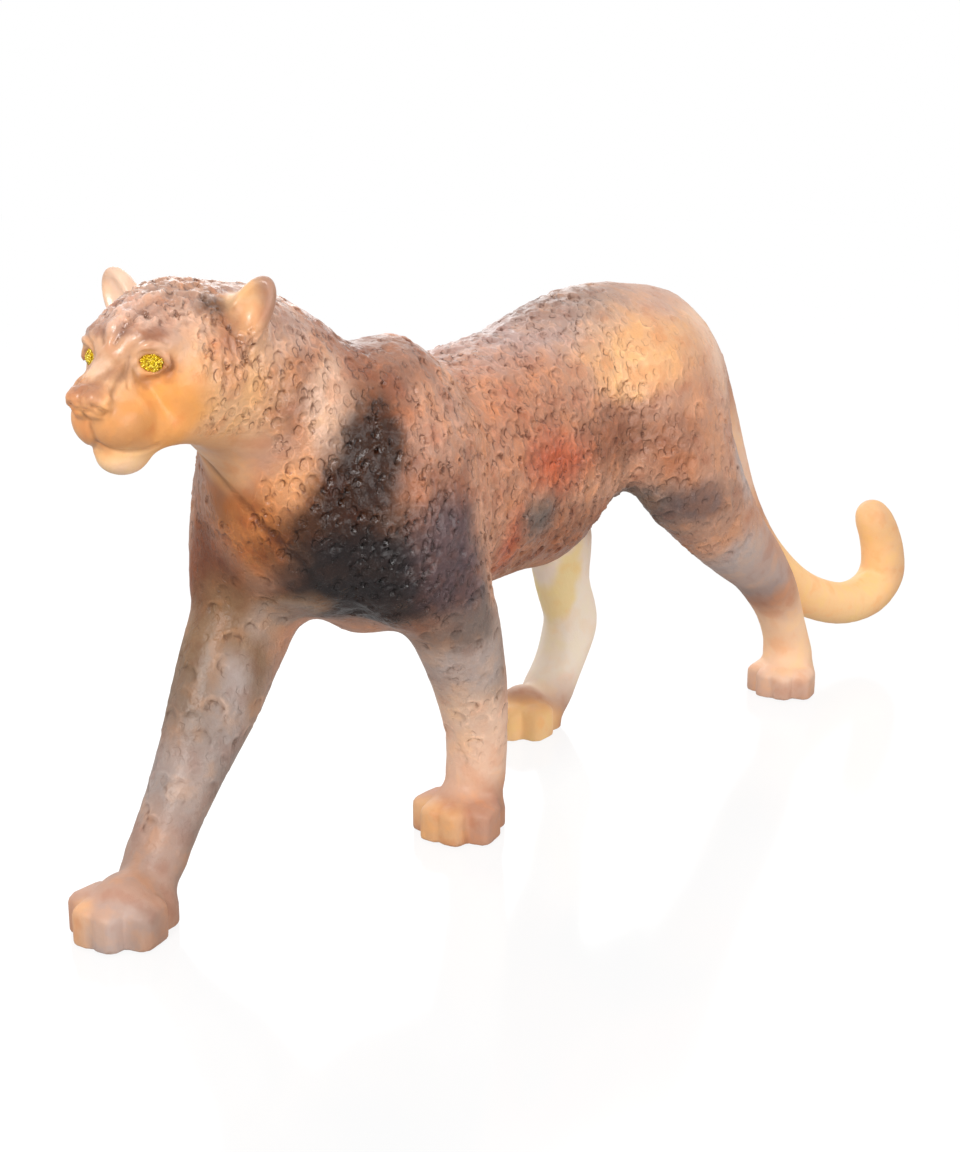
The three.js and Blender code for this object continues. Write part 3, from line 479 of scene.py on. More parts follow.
def breast_fold(p):
    """How deep the fold across the breast is at each point."""
    return FOLD_DEPTH * np.exp(-(gap_to_line(p, BREAST_FOLD) / FOLD_WIDTH) ** 2)


def panther(p):
    """Distance from the animal's skin, negative inside the glass."""
    trunk = loft(p, TRUNK, (0, 1, 0), (1, 1, 0), TRUNK_END)
    d = soft_min(trunk, loft(p, NECK, NECK_FROM, NECK_TO, NECK_END), NECK_JOIN)
    for at, radii, tilt in MASSES:
        d = soft_min(d, ellipsoid(p, at, radii, tilt=tilt), MASS_JOIN)
    for stations, blend in LIMBS:
        d = soft_min(d, limb(p, stations), blend)
    for at, size, turn in FEET:
        if not far(p, *(np.array(FOOT_BOX) + (*at, 0)), FOOT_REACH):
            d = soft_min(d, foot(p, at, size, turn), FOOT_JOIN)
    if not far(p, *np.array(HEAD_BOX), HEAD_REACH):
        d = soft_min(d, head(p), HEAD_JOIN)
    return soft_max(d + breast_fold(p), -p[:, 2], SOLE_EDGE)


def over(form, p, brick=48):
    """The form's distance at every point, worked out one brick of space at a time."""
    key = np.floor(p / brick).astype(np.int64) + 512
    code = (key[:, 0] * 1024 + key[:, 1]) * 1024 + key[:, 2]
    order = np.argsort(code, kind="stable")
    out = np.empty(len(p))
    for ids in np.split(order, np.flatnonzero(np.diff(code[order])) + 1):
        out[ids] = form(p[ids])
    return out


def read(mesh, name):
    """A mesh's vertex positions or normals as rows."""
    values = np.empty(len(mesh.vertices) * 3)
    source = mesh.vertices if name == "co" else mesh.vertex_normals
    source.foreach_get("co" if name == "co" else "vector", values)
    return values.reshape(-1, 3)


def settle(mesh, chosen=None, rounds=3, most=0.7):
    """Moves the mesh's vertices, or the chosen ones, along their normals onto the form."""
    p = read(mesh, "co") / MM
    picked = np.arange(len(p)) if chosen is None else np.flatnonzero(chosen(p))
    for _ in range(rounds):
        mesh.vertices.foreach_set("co", (p * MM).ravel())
        mesh.update()
        step = np.clip(over(panther, p[picked]), -most, most)
        p[picked] -= step[:, None] * read(mesh, "normal")[picked]
        p[:, 2] = np.maximum(p[:, 2], 0)
    mesh.vertices.foreach_set("co", (p * MM).ravel())
    mesh.update()


def in_head(p):
    """Whether points belong to the head in front of the ears' backs."""
    q = (p - np.array(HEAD_AT)) @ head_axes().T
    return ((q[:, 0] > HEAD_BACK) & (np.abs(q[:, 1]) < HEAD_HALF_WIDTH)
            & (np.abs(q[:, 2]) < HEAD_HALF_HEIGHT))


def in_face(p):
    """Whether points belong to the eyes, nose and mouth."""
    q = (p - np.array(HEAD_AT)) @ head_axes().T
    return ((q[:, 0] > FACE_BACK) & (np.abs(q[:, 1]) < FACE_HALF_WIDTH)
            & (q[:, 2] > FACE_FLOOR) & (q[:, 2] < FACE_TOP))


def refine(mesh, chosen):
    """Splits every face whose corners are all chosen into four."""
    marked = chosen(read(mesh, "co") / MM)
    bm = bmesh.new()
    bm.from_mesh(mesh)
    bm.verts.ensure_lookup_table()
    edges = [e for e in bm.edges if marked[e.verts[0].index] and marked[e.verts[1].index]]
    bmesh.ops.subdivide_edges(bm, edges=edges, cuts=1, use_grid_fill=True, smooth=0)
    bm.to_mesh(mesh)
    bm.free()


def ramp(x, low, high):
    """A smooth rise from 0 to 1, or a fall where low is the greater."""
    t = np.clip((x - low) / (high - low), 0, 1)
    return t * t * (3 - 2 * t)


def oval(p, at, radii):
    """1 inside an oval region, fading to 0 around its edge."""
    size = np.linalg.norm((p - np.array(at, float)) / np.array(radii, float), axis=1)
    return ramp(size, 1 + OVAL_EDGE, 1 - OVAL_EDGE)


def both_sides(q, at, radii):
    """An oval region on the head's left and its mirror image on the right."""
    return oval(q, at, radii) + oval(q, (at[0], -at[1], at[2]), radii)


def coat_regions(p):
    """How strongly each kind of carving shows at each point of the skin."""
    q = (p - np.array(HEAD_AT)) @ head_axes().T
    x, z = p[:, 0], p[:, 2]
    trunk = ramp(x, *TRUNK_FRONT) * ramp(z, *TRUNK_FLOOR)
    off_tail = ramp(np.hypot(x - TAIL_ROOT[0], z - TAIL_ROOT[1]), *TAIL_ROOT_BARE) * ramp(x, *TAIL_SIDE)
    body = np.maximum(trunk, oval(p, *THIGH)) * off_tail * ramp(x, *TRUNK_REAR)
    body *= (1 - HIPS_LESS * oval(p, *HIPS)) * (1 - HIND_LESS * ramp(x, *HIND_PART))
    shoulder = np.maximum(oval(p, *LEFT_SHOULDER), oval(p, *RIGHT_SHOULDER))
    cheek = np.where(x < NECK_FRONT, ramp(q[:, 0], *CHEEK_BACK) * ramp(q[:, 2], *JAW_FLOOR), 1)
    neck = ramp(x, *NECK_REAR) * ramp(z, *NECK_FLOOR) * cheek * (1 - SHOULDER_LESS * shoulder)
    in_front = (x < LEG_REAR) & (x > LEG_FRONT)
    leg = LEG_SHARE * in_front * ramp(z, *LEG_FLOOR) * ramp(z, *LEG_TOP) * ramp(x, *LEG_FADE)
    temples = both_sides(q, *TEMPLES)
    off_ears = 1 - both_sides(q, *EARS)
    fur = (temples + CROWN_SHARE * oval(q, *CROWN) + FOREHEAD_SHARE * oval(q, *FOREHEAD)
           + NOSE_SHARE * oval(q, *NOSE_PAD))
    return {"coat_body": body * (1 - shoulder),
            "coat_neck": neck * (1 - TEMPLE_LESS * temples) * off_ears,
            "coat_leg": leg,
            "coat_dents": np.clip(shoulder + RIBS_SHARE * oval(p, *RIBS), 0, 1),
            "coat_fur": np.clip(fur, 0, 1) * off_ears}


def flow(p):
    """The way the coat lies at each point: back along the trunk, down the limbs."""
    low = ramp(p[:, 2], *LIMB_START)[:, None]
    neck = ramp(p[:, 0], *NAPE_START)[:, None]
    lie = (1 - neck) * BACK_LIE + neck * NAPE_LIE
    lie = (1 - low) * lie + low * LIMB_LIE
    return lie / np.linalg.norm(lie, axis=1)[:, None]


class Nodes:
    """A node tree while it is being wired."""

    def __init__(self, tree):
        self.tree = tree
        tree.nodes.clear()

    def add(self, kind, settings=None, inputs=None):
        """Adds a node, sets its settings and fills its sockets, by name or by number."""
        node = self.tree.nodes.new(kind)
        for name, value in (settings or {}).items():
            setattr(node, name, value)
        for name, value in (inputs or {}).items():
            self.plug(node.inputs[name], value)
        return node

    def plug(self, socket, value):
        if isinstance(value, Term):
            value = value.socket
        if isinstance(value, bpy.types.NodeSocket):
            self.tree.links.new(value, socket)
        else:
            socket.default_value = value

    def term(self, node, output=0):
        return Term(self, node.outputs[output])

    def vector(self, operation, *values):
        """A vector calculation, as a socket; its length or dot product comes out as a number."""
        node = self.add("ShaderNodeVectorMath", {"operation": operation}, dict(enumerate(values)))
        if operation in ("LENGTH", "DOT_PRODUCT", "DISTANCE"):
            return self.term(node, "Value")
        return node.outputs["Vector"]

    def scaled(self, vector, factor):
        """A vector times a number."""
        node = self.add("ShaderNodeVectorMath", {"operation": "SCALE"}, {0: vector, "Scale": factor})
        return node.outputs["Vector"]

    def mix(self, factor, a, b, blend="MIX"):
        """One colour laid over another."""
        node = self.add("ShaderNodeMix", {"data_type": "RGBA", "blend_type": blend}, {0: factor, 6: a, 7: b})
        return node.outputs[2]


class Term:
    """A number that a node works out, for use in plain arithmetic."""

    def __init__(self, nodes, socket):
        self.nodes = nodes
        self.socket = socket

    def math(self, operation, *others):
        node = self.nodes.add("ShaderNodeMath", {"operation": operation}, dict(enumerate((self, *others))))
        return Term(self.nodes, node.outputs[0])

    def __add__(self, other):
        return self.math("ADD", other)

    def __sub__(self, other):
        return self.math("SUBTRACT", other)

    def __mul__(self, other):
        return self.math("MULTIPLY", other)

    def __truediv__(self, other):
        return self.math("DIVIDE", other)

    def __neg__(self):
        return self.math("MULTIPLY", -1.0)

    def __radd__(self, other):
        return self + other

    def __rmul__(self, other):
        return self * other

    def __rsub__(self, other):
        return -self + other

    def __rtruediv__(self, other):
        return self.math("POWER", -1.0) * other

    def ramp(self, low, high, start=0.0, end=1.0):
        """A smooth change from start to end as the number goes from low to high."""
        node = self.nodes.add("ShaderNodeMapRange", {"interpolation_type": "SMOOTHSTEP"},
                              {"Value": self, "From Min": low, "From Max": high,
                               "To Min": start, "To Max": end})
        return self.nodes.term(node)

    def bell(self, middle, width):
        """A soft hump round the middle value."""
        away = (self - middle) / width
        return (-(away * away)).math("EXPONENT")


def noise(nodes, place, scale, detail=2.0):
    """A cloudy pattern's node."""
    return nodes.add("ShaderNodeTexNoise", {"noise_dimensions": "3D"},
                     {"Vector": place, "Scale": scale, "Detail": detail})


def drift(nodes, place, scale, amount):
    """A random shift of up to about the amount, changing from place to place."""
    cloud = noise(nodes, place, scale).outputs["Color"]
    return nodes.scaled(nodes.vector("SUBTRACT", cloud, (0.5, 0.5, 0.5)), amount)


def linear(red, green, blue):
    """A colour written in screen values from 0 to 255, as light."""
    return tuple(((c / 255 + 0.055) / 1.055) ** 2.4 if c > 10 else c / 3294.6 for c in (red, green, blue))


TINT_COLOURS = {
    "rose": ("Rose beige in the neck and head", linear(198, 158, 138)),
    "clay": ("Warm clay, the glass's main tint", linear(188, 140, 114)),
    "peach": ("Warm peach in the hips and face", linear(236, 182, 132)),
    "amber": ("Deep amber in the cheek and breast", linear(232, 156, 80)),
    "milk": ("Milky pink in the feet", linear(244, 206, 178)),
    "mauve": ("Mauve grey on the back", linear(176, 154, 150)),
    "mist": ("Pale grey in the legs", linear(178, 162, 156)),
    "smoke": ("Smoke grey in the thighs and front legs", linear(112, 96, 88)),
    "dusk": ("Violet grey behind the shoulder", linear(74, 60, 66)),
    "charcoal": ("Charcoal low on the shoulder", linear(26, 19, 20)),
    "umber": ("Dark brown in front of the shoulder", linear(48, 20, 0)),
    "brown": ("Brown in the flank and loin", linear(138, 86, 60)),
    "ember": ("Orange red glow in the flank", linear(182, 82, 46)),
    "olive": ("Olive over the front leg", linear(126, 96, 66)),
    "honey": ("Pale honey in the tail and the ears", linear(254, 203, 146)),
    "taupe": ("Grey beige in the front legs", linear(158, 138, 126)),
    "bronze": ("Bronze in the breast", linear(164, 100, 48)),
    "blush": ("Pale pink in the far hind leg", linear(255, 236, 216)),
    "rust": ("Rusty brown in the flank", linear(192, 128, 94)),
    "straw": ("Yellow streak down the far hind leg", linear(250, 218, 140)),
}

# Where each tint lies in the glass: tint, centre and radii in mm, strength. Later ones lie over earlier
# ones. The pale tints in the tail, the ears, the chin, the far hind leg and the lower legs and paws are
# partly the glass's tint and partly a painted glow of light through it, and the neck's milky patch is partly
# a painted highlight.
TINT_PLACES = [
    # trunk and hips
    ("rust", (-76, 0, 160), (70, 60, 50), 0.7),
    ("peach", (24, 0, 204), (64, 60, 30), 0.65),
    ("peach", (8, 0, 190), (32, 60, 17), 0.85),
    ("milk", (72, 0, 196), (22, 60, 34), 0.6),
    ("rose", (50, 0, 228), (44, 60, 20), 0.8),
    ("mauve", (-60, 0, 226), (84, 60, 28), 0.75),
    ("smoke", (-20, 0, 232), (60, 60, 20), 0.4),
    ("brown", (-16, 0, 163), (34, 60, 20), 0.85),
    ("brown", (28, 0, 164), (40, 60, 12), 0.6),
    ("brown", (-38, 0, 119), (66, 60, 22), 0.75),
    ("brown", (-70, 0, 168), (56, 60, 40), 0.35),
    ("ember", (-59, 0, 158), (33, 60, 19), 0.85),
    ("ember", (-86, 0, 129), (12, 60, 20), 0.6),
    ("smoke", (-70, 0, 136), (18, 60, 14), 1.0),
    ("brown", (32, 0, 152), (26, 60, 20), 0.85),
    # hind legs and tail
    ("smoke", (30, 0, 128), (32, 60, 17), 0.9),
    ("smoke", (54, 0, 124), (36, 60, 25), 1.0),
    ("dusk", (46, -30, 126), (18, 60, 14), 0.5),
    ("mist", (84, -30, 140), (14, 40, 26), 0.8),
    ("mist", (92, -37, 94), (26, 30, 20), 0.9),
    ("mist", (118, -37, 76), (22, 30, 16), 0.7),
    ("dusk", (123, -37, 66), (15, 24, 13), 0.3),
    # The near hind leg's lower part is paler, partly its tint and partly a painted glow of light through the
    # thin glass.
    ("milk", (155, -37, 27), (30, 26, 36), 0.8),
    ("rose", (144, -38, 4), (30, 30, 7), 0.6),
    # The far hind leg and its paw are paler, partly their tint and partly a painted glow of light through
    # the thin glass.
    ("blush", (46, 35, 92), (26, 26, 26), 0.85),
    ("blush", (46, 36, 50), (34, 26, 44), 1.0),
    ("straw", (39, 30, 72), (7, 24, 34), 0.7),
    ("honey", (6, 32, 4), (26, 30, 16), 1.0),
    # The tail's milk and honey are partly its tint and partly a painted glow of light through the thin tail.
    ("milk", (140, 0, 120), (22, 30, 44), 0.8),
    ("honey", (225, -30, 50), (84, 40, 60), 1.0),
    # neck and breast
    ("brown", (-190, 0, 218), (24, 60, 22), 0.5),
    ("brown", (-210, -26, 203), (14, 22, 18), 0.65),
    ("rose", (-206, -22, 228), (14, 18, 10), 0.7),
    # The neck's milky patch is partly its pink tint and partly a painted highlight.
    ("milk", (-192, -22, 196), (14, 44, 22), 0.5),
    ("amber", (-205, -20, 158), (14, 26, 22), 0.4),
    ("bronze", (-214, -4, 150), (16, 20, 22), 0.9),
    ("brown", (-207, 24, 128), (18, 20, 24), 0.95),
    ("umber", (-207, 22, 127), (16, 18, 20), 0.4),
    ("peach", (-222, 4, 175), (12, 16, 11), 0.7),
    ("rose", (-226, -18, 226), (14, 16, 14), 0.7),
    # front legs
    ("taupe", (-226, 20, 56), (52, 44, 62), 1.0),
    ("taupe", (-122, -34, 84), (30, 34, 40), 0.9),
    ("olive", (-210, 14, 100), (20, 26, 32), 0.8),
    ("mist", (-214, 4, 76), (14, 20, 26), 0.8),
    ("olive", (-224, 24, 84), (16, 20, 34), 0.6),
    ("olive", (-222, 36, 96), (14, 13, 44), 0.6),
    ("mist", (-238, 16, 52), (22, 26, 22), 0.7),
    ("smoke", (-234, 14, 54), (36, 34, 50), 0.3),
    ("rose", (-258, 20, 26), (30, 30, 22), 0.6),
    ("peach", (-284, 22, 8), (10, 10, 18), 0.5),
    ("mist", (-278, 2, 8), (18, 16, 16), 0.75),
    ("smoke", (-250, 14, 30), (24, 30, 20), 0.3),
    ("smoke", (-266, -6, 6), (12, 12, 16), 0.35),
    ("smoke", (-134, -40, 110), (18, 30, 20), 0.9),
    ("mist", (-128, -38, 82), (22, 26, 16), 0.6),
    # The front left leg's lower part and paw are paler, partly their tint and partly a painted glow of light
    # through the thin glass.
    ("milk", (-112, -30, 46), (34, 30, 28), 0.6),
    ("honey", (-124, -20, 8), (14, 20, 12), 0.6),
    ("rose", (-112, -40, 8), (14, 14, 12), 0.6),
    ("brown", (-114, -34, 6), (26, 30, 12), 0.28),
    # shoulder
    ("brown", (-154, -20, 214), (30, 50, 12), 0.6),
    ("brown", (-154, -30, 174), (28, 44, 38), 0.7),
    ("smoke", (-158, -20, 212), (20, 50, 14), 0.4),
    ("rose", (-152, -45, 190), (18, 30, 18), 0.45),
    ("brown", (-174, -20, 198), (15, 44, 20), 0.75),
    ("umber", (-177, -20, 186), (12, 44, 18), 0.85),
    ("umber", (-180, -20, 177), (16, 44, 22), 1.0),
    ("umber", (-186, -20, 164), (18, 40, 20), 1.0),
    ("umber", (-194, -20, 150), (17, 36, 16), 0.95),
    ("umber", (-176, -20, 150), (18, 44, 16), 0.8),
    ("charcoal", (-180, -20, 136), (28, 50, 18), 0.97),
    ("charcoal", (-162, -20, 124), (36, 50, 19), 0.97),
    ("dusk", (-140, -30, 126), (22, 40, 18), 0.9),
    ("olive", (-190, -4, 114), (14, 20, 15), 0.8),
    ("taupe", (-192, -4, 110), (14, 20, 14), 0.7),
    ("dusk", (-150, -30, 143), (22, 40, 24), 0.9),
    # head
    ("peach", (-254, 0, 208), (48, 60, 38), 0.8),
    ("amber", (-262, -18, 206), (18, 20, 15), 0.85),
    ("amber", (-284, -10, 200), (14, 24, 12), 0.5),
    ("rose", (-258, 0, 236), (26, 60, 18), 0.8),
    ("smoke", (-240, 0, 247), (36, 60, 12), 0.35),
    ("brown", (-284, -4, 220), (14, 16, 7), 0.35),
    ("bronze", (-281, -20, 200), (12, 14, 9), 0.3),
    ("rust", (-236, -25, 219), (10, 12, 12), 0.5),
    ("brown", (-232, -22, 230), (9, 12, 9), 0.45),
    # The chin's honey and milk are partly its tint and partly a painted glow of light through the glass.
    ("honey", (-276, 0, 184), (24, 40, 11), 0.8),
    ("milk", (-278, 0, 182), (20, 40, 8), 0.6),
    # The ears' honey and milk are partly their tint and partly a painted glow of light through the thin
    # ears.
    ("honey", on_head(-11, 26, 20), (9, 9, 12), 0.6),
    ("milk", on_head(-11, -26, 18), (12, 12, 16), 0.9),
]

# Painted shade in the folds of the face and at the ears' roots, with the dark nose, a rose forehead and a
# painted highlight on the nose's bridge, the same on both sides: tint, place on the head, radii, strength.
FACE_PAINTED_LIGHT_AND_TINTS = [
    ("brown", (25, 16.5, -4), (5, 4, 5), 0.65),
    ("brown", (29, 10, -8), (5, 5, 3), 0.45),
    ("brown", (31, 5, 9), (7, 4, 4), 0.8),
    ("brown", (20, 7, 17), (10, 4, 4), 0.8),
    ("brown", (28, 12.5, 7.8), (7, 6, 3), 0.8),
    ("brown", (37, 5.5, -6), (8, 3, 4), 0.45),
    ("brown", (47, 2, -11), (6, 6, 4), 0.5),
    ("brown", (-3, 22, 11), (8, 9, 7), 0.5),
    ("umber", (-1, 18, 17), (8, 6, 4.5), 0.7),
    ("rose", (24, 0, 14), (14, 12, 9), 0.5),
    # A painted highlight on the nose's bridge.
    ("milk", (39, 0, -6), (9, 4, 5), 0.4),
]

# How far a tint and a face shade fade out and in, in radii, and how the tints run: waves in a mm, and mm.
TINT_FADE, SHADE_FADE = (1.25, 0.55), (1.4, 0.3)
WIDE_DRIFT, SMALL_DRIFT, SHADE_DRIFT, NICK_DRIFT = (0.018, 15.0), (0.07, 8.0), (0.3, 5.0), (0.5, 1.6)

# Clouds in the tints: waves in a mm and detail; then where each tint shows in them and how strongly.
CLOUDS, MOTTLE = (0.035, 4.0), (0.09, 3.0)
PEACH_CLOUDS = (0.45, 0.7, 0.0, 0.2)
BROWN_MOTTLE, HONEY_MOTTLE = (0.5, 0.68, 0.0, 0.3), (0.5, 0.34, 0.0, 0.25)

# The fine nicks between the rings: number along a mm, radius in mm, stretch upwards.
NICKS, NICK_RADIUS, NICK_STRETCH = 0.24, 1.55, 0.65

# A nick's section in radii, as a ring's: its wall, the painted shade in its crease and the painted highlight
# on its rim. Then from where one side of its edge takes the painted shade and the other the painted
# highlight, and how strong that highlight is.
NICK_WALL, NICK_CREASE, NICK_RIM = (1.12, 0.75), (1.0, 0.22), (1.35, 0.22)
NICK_DARK_SIDE, NICK_LIGHT_SIDE, NICK_LIGHT = (-0.5, 0.6), (0.5, -0.5), 0.6

# Painted shade in a carved line and painted highlight on its raised rim, as colours against the glass round
# it, and from where and how strongly each shows.
PAINTED_CREASE_SHADE, PAINTED_RIM_HIGHLIGHT = (0.38, 0.28, 0.22, 1), (1.5, 1.5, 1.5, 1)
CREASE_SHARE, RIM_SHARE, NICK_SHARE = (0.05, 0.9, 0.0, 0.8), (0.0, -0.5, 0.0, 0.5), 0.6

# The satin skin: how dull it is, less on the coat and the face and more in the clouds. Then where its gloss
# sets in and how strong it gets: by the coat's strength, and by the way from the head's middle in mm.
DULLNESS, COAT_LESS_DULL, FACE_LESS_DULL, CLOUD_DULLNESS = 0.46, 0.2, 0.45, 0.14
COAT_GLOSS, FACE_GLOSS = (0.45, 0.9, 0.0, 0.14), (66, 46, 0.03, 0.3)

# The skin's unevenness: the height of all of it in metres, waves in a mm and detail of the grit and of the
# dust, how much grit is on the bare glass and how much more on the coat, and the shares of dust and nicks.
BUMP_HEIGHT, GRIT, DUST = 0.0009, (0.3, 4.0), (1.6, 3.0)
BARE_GRIT, COAT_GRIT, DUST_SHARE, NICK_DEPTH = 0.3, 0.8, 0.1, 0.7
# The glass's fixed settings. Its faint emission in its own colour is a painted glow that stands in for light
# passing through the glass.
GLASS = {
    "IOR": 1.5, "Specular IOR Level": 0.4, "Coat Roughness": 0.22, "Emission Strength": 0.1,
    "Subsurface Weight": 0.15, "Subsurface Radius": (1.0, 0.75, 0.6), "Subsurface Scale": 0.003,
}

# The gold: its three colours, its specks as waves in a metre and detail, and where one colour turns into
# the next.
GOLD_DARK, GOLD, GOLD_BRIGHT = (0.4, 0.22, 0.0, 1), (0.85, 0.62, 0.01, 1), (1.0, 0.86, 0.16, 1)
SPECKS, DARK_SPECKS, BRIGHT_SPECKS = (1400.0, 1.0), (0.35, 0.55), (0.55, 0.7)


def length(name, words, default):
    """A size in metres that the panel shows."""
    return bpy.props.FloatProperty(name=name, description=words, default=default, unit="LENGTH")


class PantherSizes(bpy.types.PropertyGroup):
    """The glass body, its coat and its eyes."""
    skin: length("Skin", "Distance between the skin's points while it is carved", 0.0008)
    head_faces: bpy.props.IntProperty(name="Head faces", description="Triangles in the head", default=62000)
    body_faces: bpy.props.IntProperty(name="Body faces", description="Triangles behind the head",
                                      default=132000)
    body_ring: length("Body ring", "Radius of a ring on the flank", 0.0032)
    neck_ring: length("Neck ring", "Radius of a ring on the neck", 0.0023)
    leg_ring: length("Leg ring", "Radius of a ring on the front legs", 0.0036)
    dent: length("Dent", "Radius of a dent on the shoulder", 0.0022)
    ring_depth: length("Ring depth", "Depth of the carved rings", 0.00125)
    grain: length("Eye grain", "Radius of a gold grain", 0.0005)


class PantherTints(bpy.types.PropertyGroup):
    """The tints run together in the glass."""
    __annotations__ = {name: bpy.props.FloatVectorProperty(name=name.capitalize(), description=words,
                                                           subtype="COLOR", default=colour)
                       for name, (words, colour) in TINT_COLOURS.items()}


def new_tree(name, inputs):
    """A tree that takes in a shape, the named values and a material, and gives out a shape."""
    tree = bpy.data.node_groups.new(name, "GeometryNodeTree")
    nodes = Nodes(tree)
    for title, kind, default in (("Geometry", "Geometry", None), *inputs, ("Material", "Material", None)):
        socket = tree.interface.new_socket(title, in_out="INPUT", socket_type="NodeSocket" + kind)
        if default is not None:
            socket.default_value = default
    tree.interface.new_socket("Geometry", in_out="OUTPUT", socket_type="NodeSocketGeometry")
    return nodes, nodes.add("NodeGroupInput").outputs


def close_tree(nodes, geometry, material):
    """Ends a tree with the shape made real and its material set."""
    whole = nodes.add("GeometryNodeRealizeInstances", None, {"Geometry": geometry})
    finished = nodes.add("GeometryNodeSetMaterial", None,
                         {"Geometry": whole.outputs[0], "Material": material})
    nodes.add("NodeGroupOutput", None, {"Geometry": finished.outputs[0]})
    return nodes.tree


def named_value(nodes, name, kind="FLOAT"):
    """The output of a value stored on the skin."""
    node = nodes.add("GeometryNodeInputNamedAttribute", {"data_type": kind}, {"Name": name})
    return node.outputs["Attribute"]


def ring_tree():
    """Presses rings into a skin where a named region of it allows them."""
    nodes, given = new_tree("coat rings", [
        ("Region", "String", "coat_body"), ("Spacing", "Float", 0.008), ("Radius", "Float", 0.003),
        ("Depth", "Float", 0.0006), ("Stretch", "Float", 1.0), ("Swell", "Float", 0.0),
        ("Fineness", "Float", 75.0), ("Seed", "Int", 1)])
    region = Term(nodes, named_value(nodes, given["Region"]))
    spots = nodes.add("GeometryNodeDistributePointsOnFaces", {"distribute_method": "POISSON"},
                      {"Mesh": given["Geometry"], "Distance Min": given["Spacing"],
                       "Density Max": RINGS_TRIED, "Density Factor": region, "Seed": given["Seed"]})
    place = nodes.add("GeometryNodeInputPosition").outputs[0]
    nearest = nodes.add("GeometryNodeSampleNearest", {"domain": "POINT"},
                        {"Geometry": spots.outputs["Points"], "Sample Position": place}).outputs["Index"]

    def of_ring(value, kind="FLOAT_VECTOR"):
        """A value of the ring nearest to each point of the skin."""
        node = nodes.add("GeometryNodeSampleIndex", {"data_type": kind, "domain": "POINT"},
                         {"Geometry": spots.outputs["Points"], "Value": value, "Index": nearest})
        return node.outputs["Value"]

    def chance(low, high, shift):
        """A number drawn for each ring."""
        seed = nodes.term(nodes.add("FunctionNodeInputInt", {"integer": shift}))
        node = nodes.add("FunctionNodeRandomValue", {"data_type": "FLOAT"}, {2: low, 3: high, "Seed": seed})
        return Term(nodes, of_ring(nodes.term(node, 1), "FLOAT"))

    offset = nodes.vector("SUBTRACT", place, of_ring(place))
    facing = of_ring(spots.outputs["Normal"])
    lie = of_ring(named_value(nodes, "flow", "FLOAT_VECTOR"))
    across = nodes.vector("NORMALIZE", nodes.vector("CROSS_PRODUCT", facing, lie))
    along_coat = nodes.vector("CROSS_PRODUCT", across, facing)
    size = chance(*RING_SIZES, 1)
    turn = chance(*RING_TURNS, 2)
    bold = chance(*RING_DEPTHS, 3)
    button = chance(*RING_BUTTONS, 4)
    u = nodes.vector("DOT_PRODUCT", offset, along_coat) * given["Stretch"]
    v = nodes.vector("DOT_PRODUCT", offset, across)
    waver = WAVER_LEAST + WAVER_MORE * nodes.term(noise(nodes, place, WAVER), "Fac")
    reach = (u * u + v * v).math("SQRT") + 1e-6
    t = reach * waver / (size * Term(nodes, given["Radius"]))
    heading = u / reach * turn.math("COSINE") + v / reach * turn.math("SINE")
    opened = heading.ramp(*RING_OPENING)
    wall = t.ramp(*RING_WALL)
    bed = wall * (BED_EVEN + BED_SLANT * heading * t)
    lip = t.bell(*RING_LIP) * opened
    middle = t.bell(*BUTTON) * button.math("MAXIMUM", 0.0)
    crease = t.bell(*RING_CREASE) * opened
    strength = region * bold
    upright = nodes.vector("MULTIPLY", place, (1.0, 1.0, SWELL_STRETCH))
    swell = nodes.term(noise(nodes, upright, given["Fineness"], SWELL_DETAIL), "Fac")
    height = (strength * given["Depth"] * (lip * LIP_HEIGHT + middle * BUTTON_HEIGHT - bed)
              + region * given["Swell"] * (swell - 0.5))
    moved = nodes.add("GeometryNodeSetPosition", None,
                      {"Geometry": given["Geometry"],
                       "Offset": nodes.scaled(nodes.add("GeometryNodeInputNormal").outputs[0], height)})
    # The skin keeps as carved the painted shade of the ring's crease and the swells' hollows, and the
    # painted highlight of its lip, its button and the swells' tops.
    before = Term(nodes, named_value(nodes, "carved"))
    marked = nodes.add("GeometryNodeStoreNamedAttribute", {"data_type": "FLOAT", "domain": "POINT"},
                       {"Geometry": moved.outputs[0], "Name": "carved",
                        "Value": before + strength * (crease - lip * LIP_LIGHT - middle * BUTTON_LIGHT)
                        + region * given["Swell"] * (0.5 - swell) * SWELL_SHADE})
    return close_tree(nodes, marked.outputs[0], given["Material"])


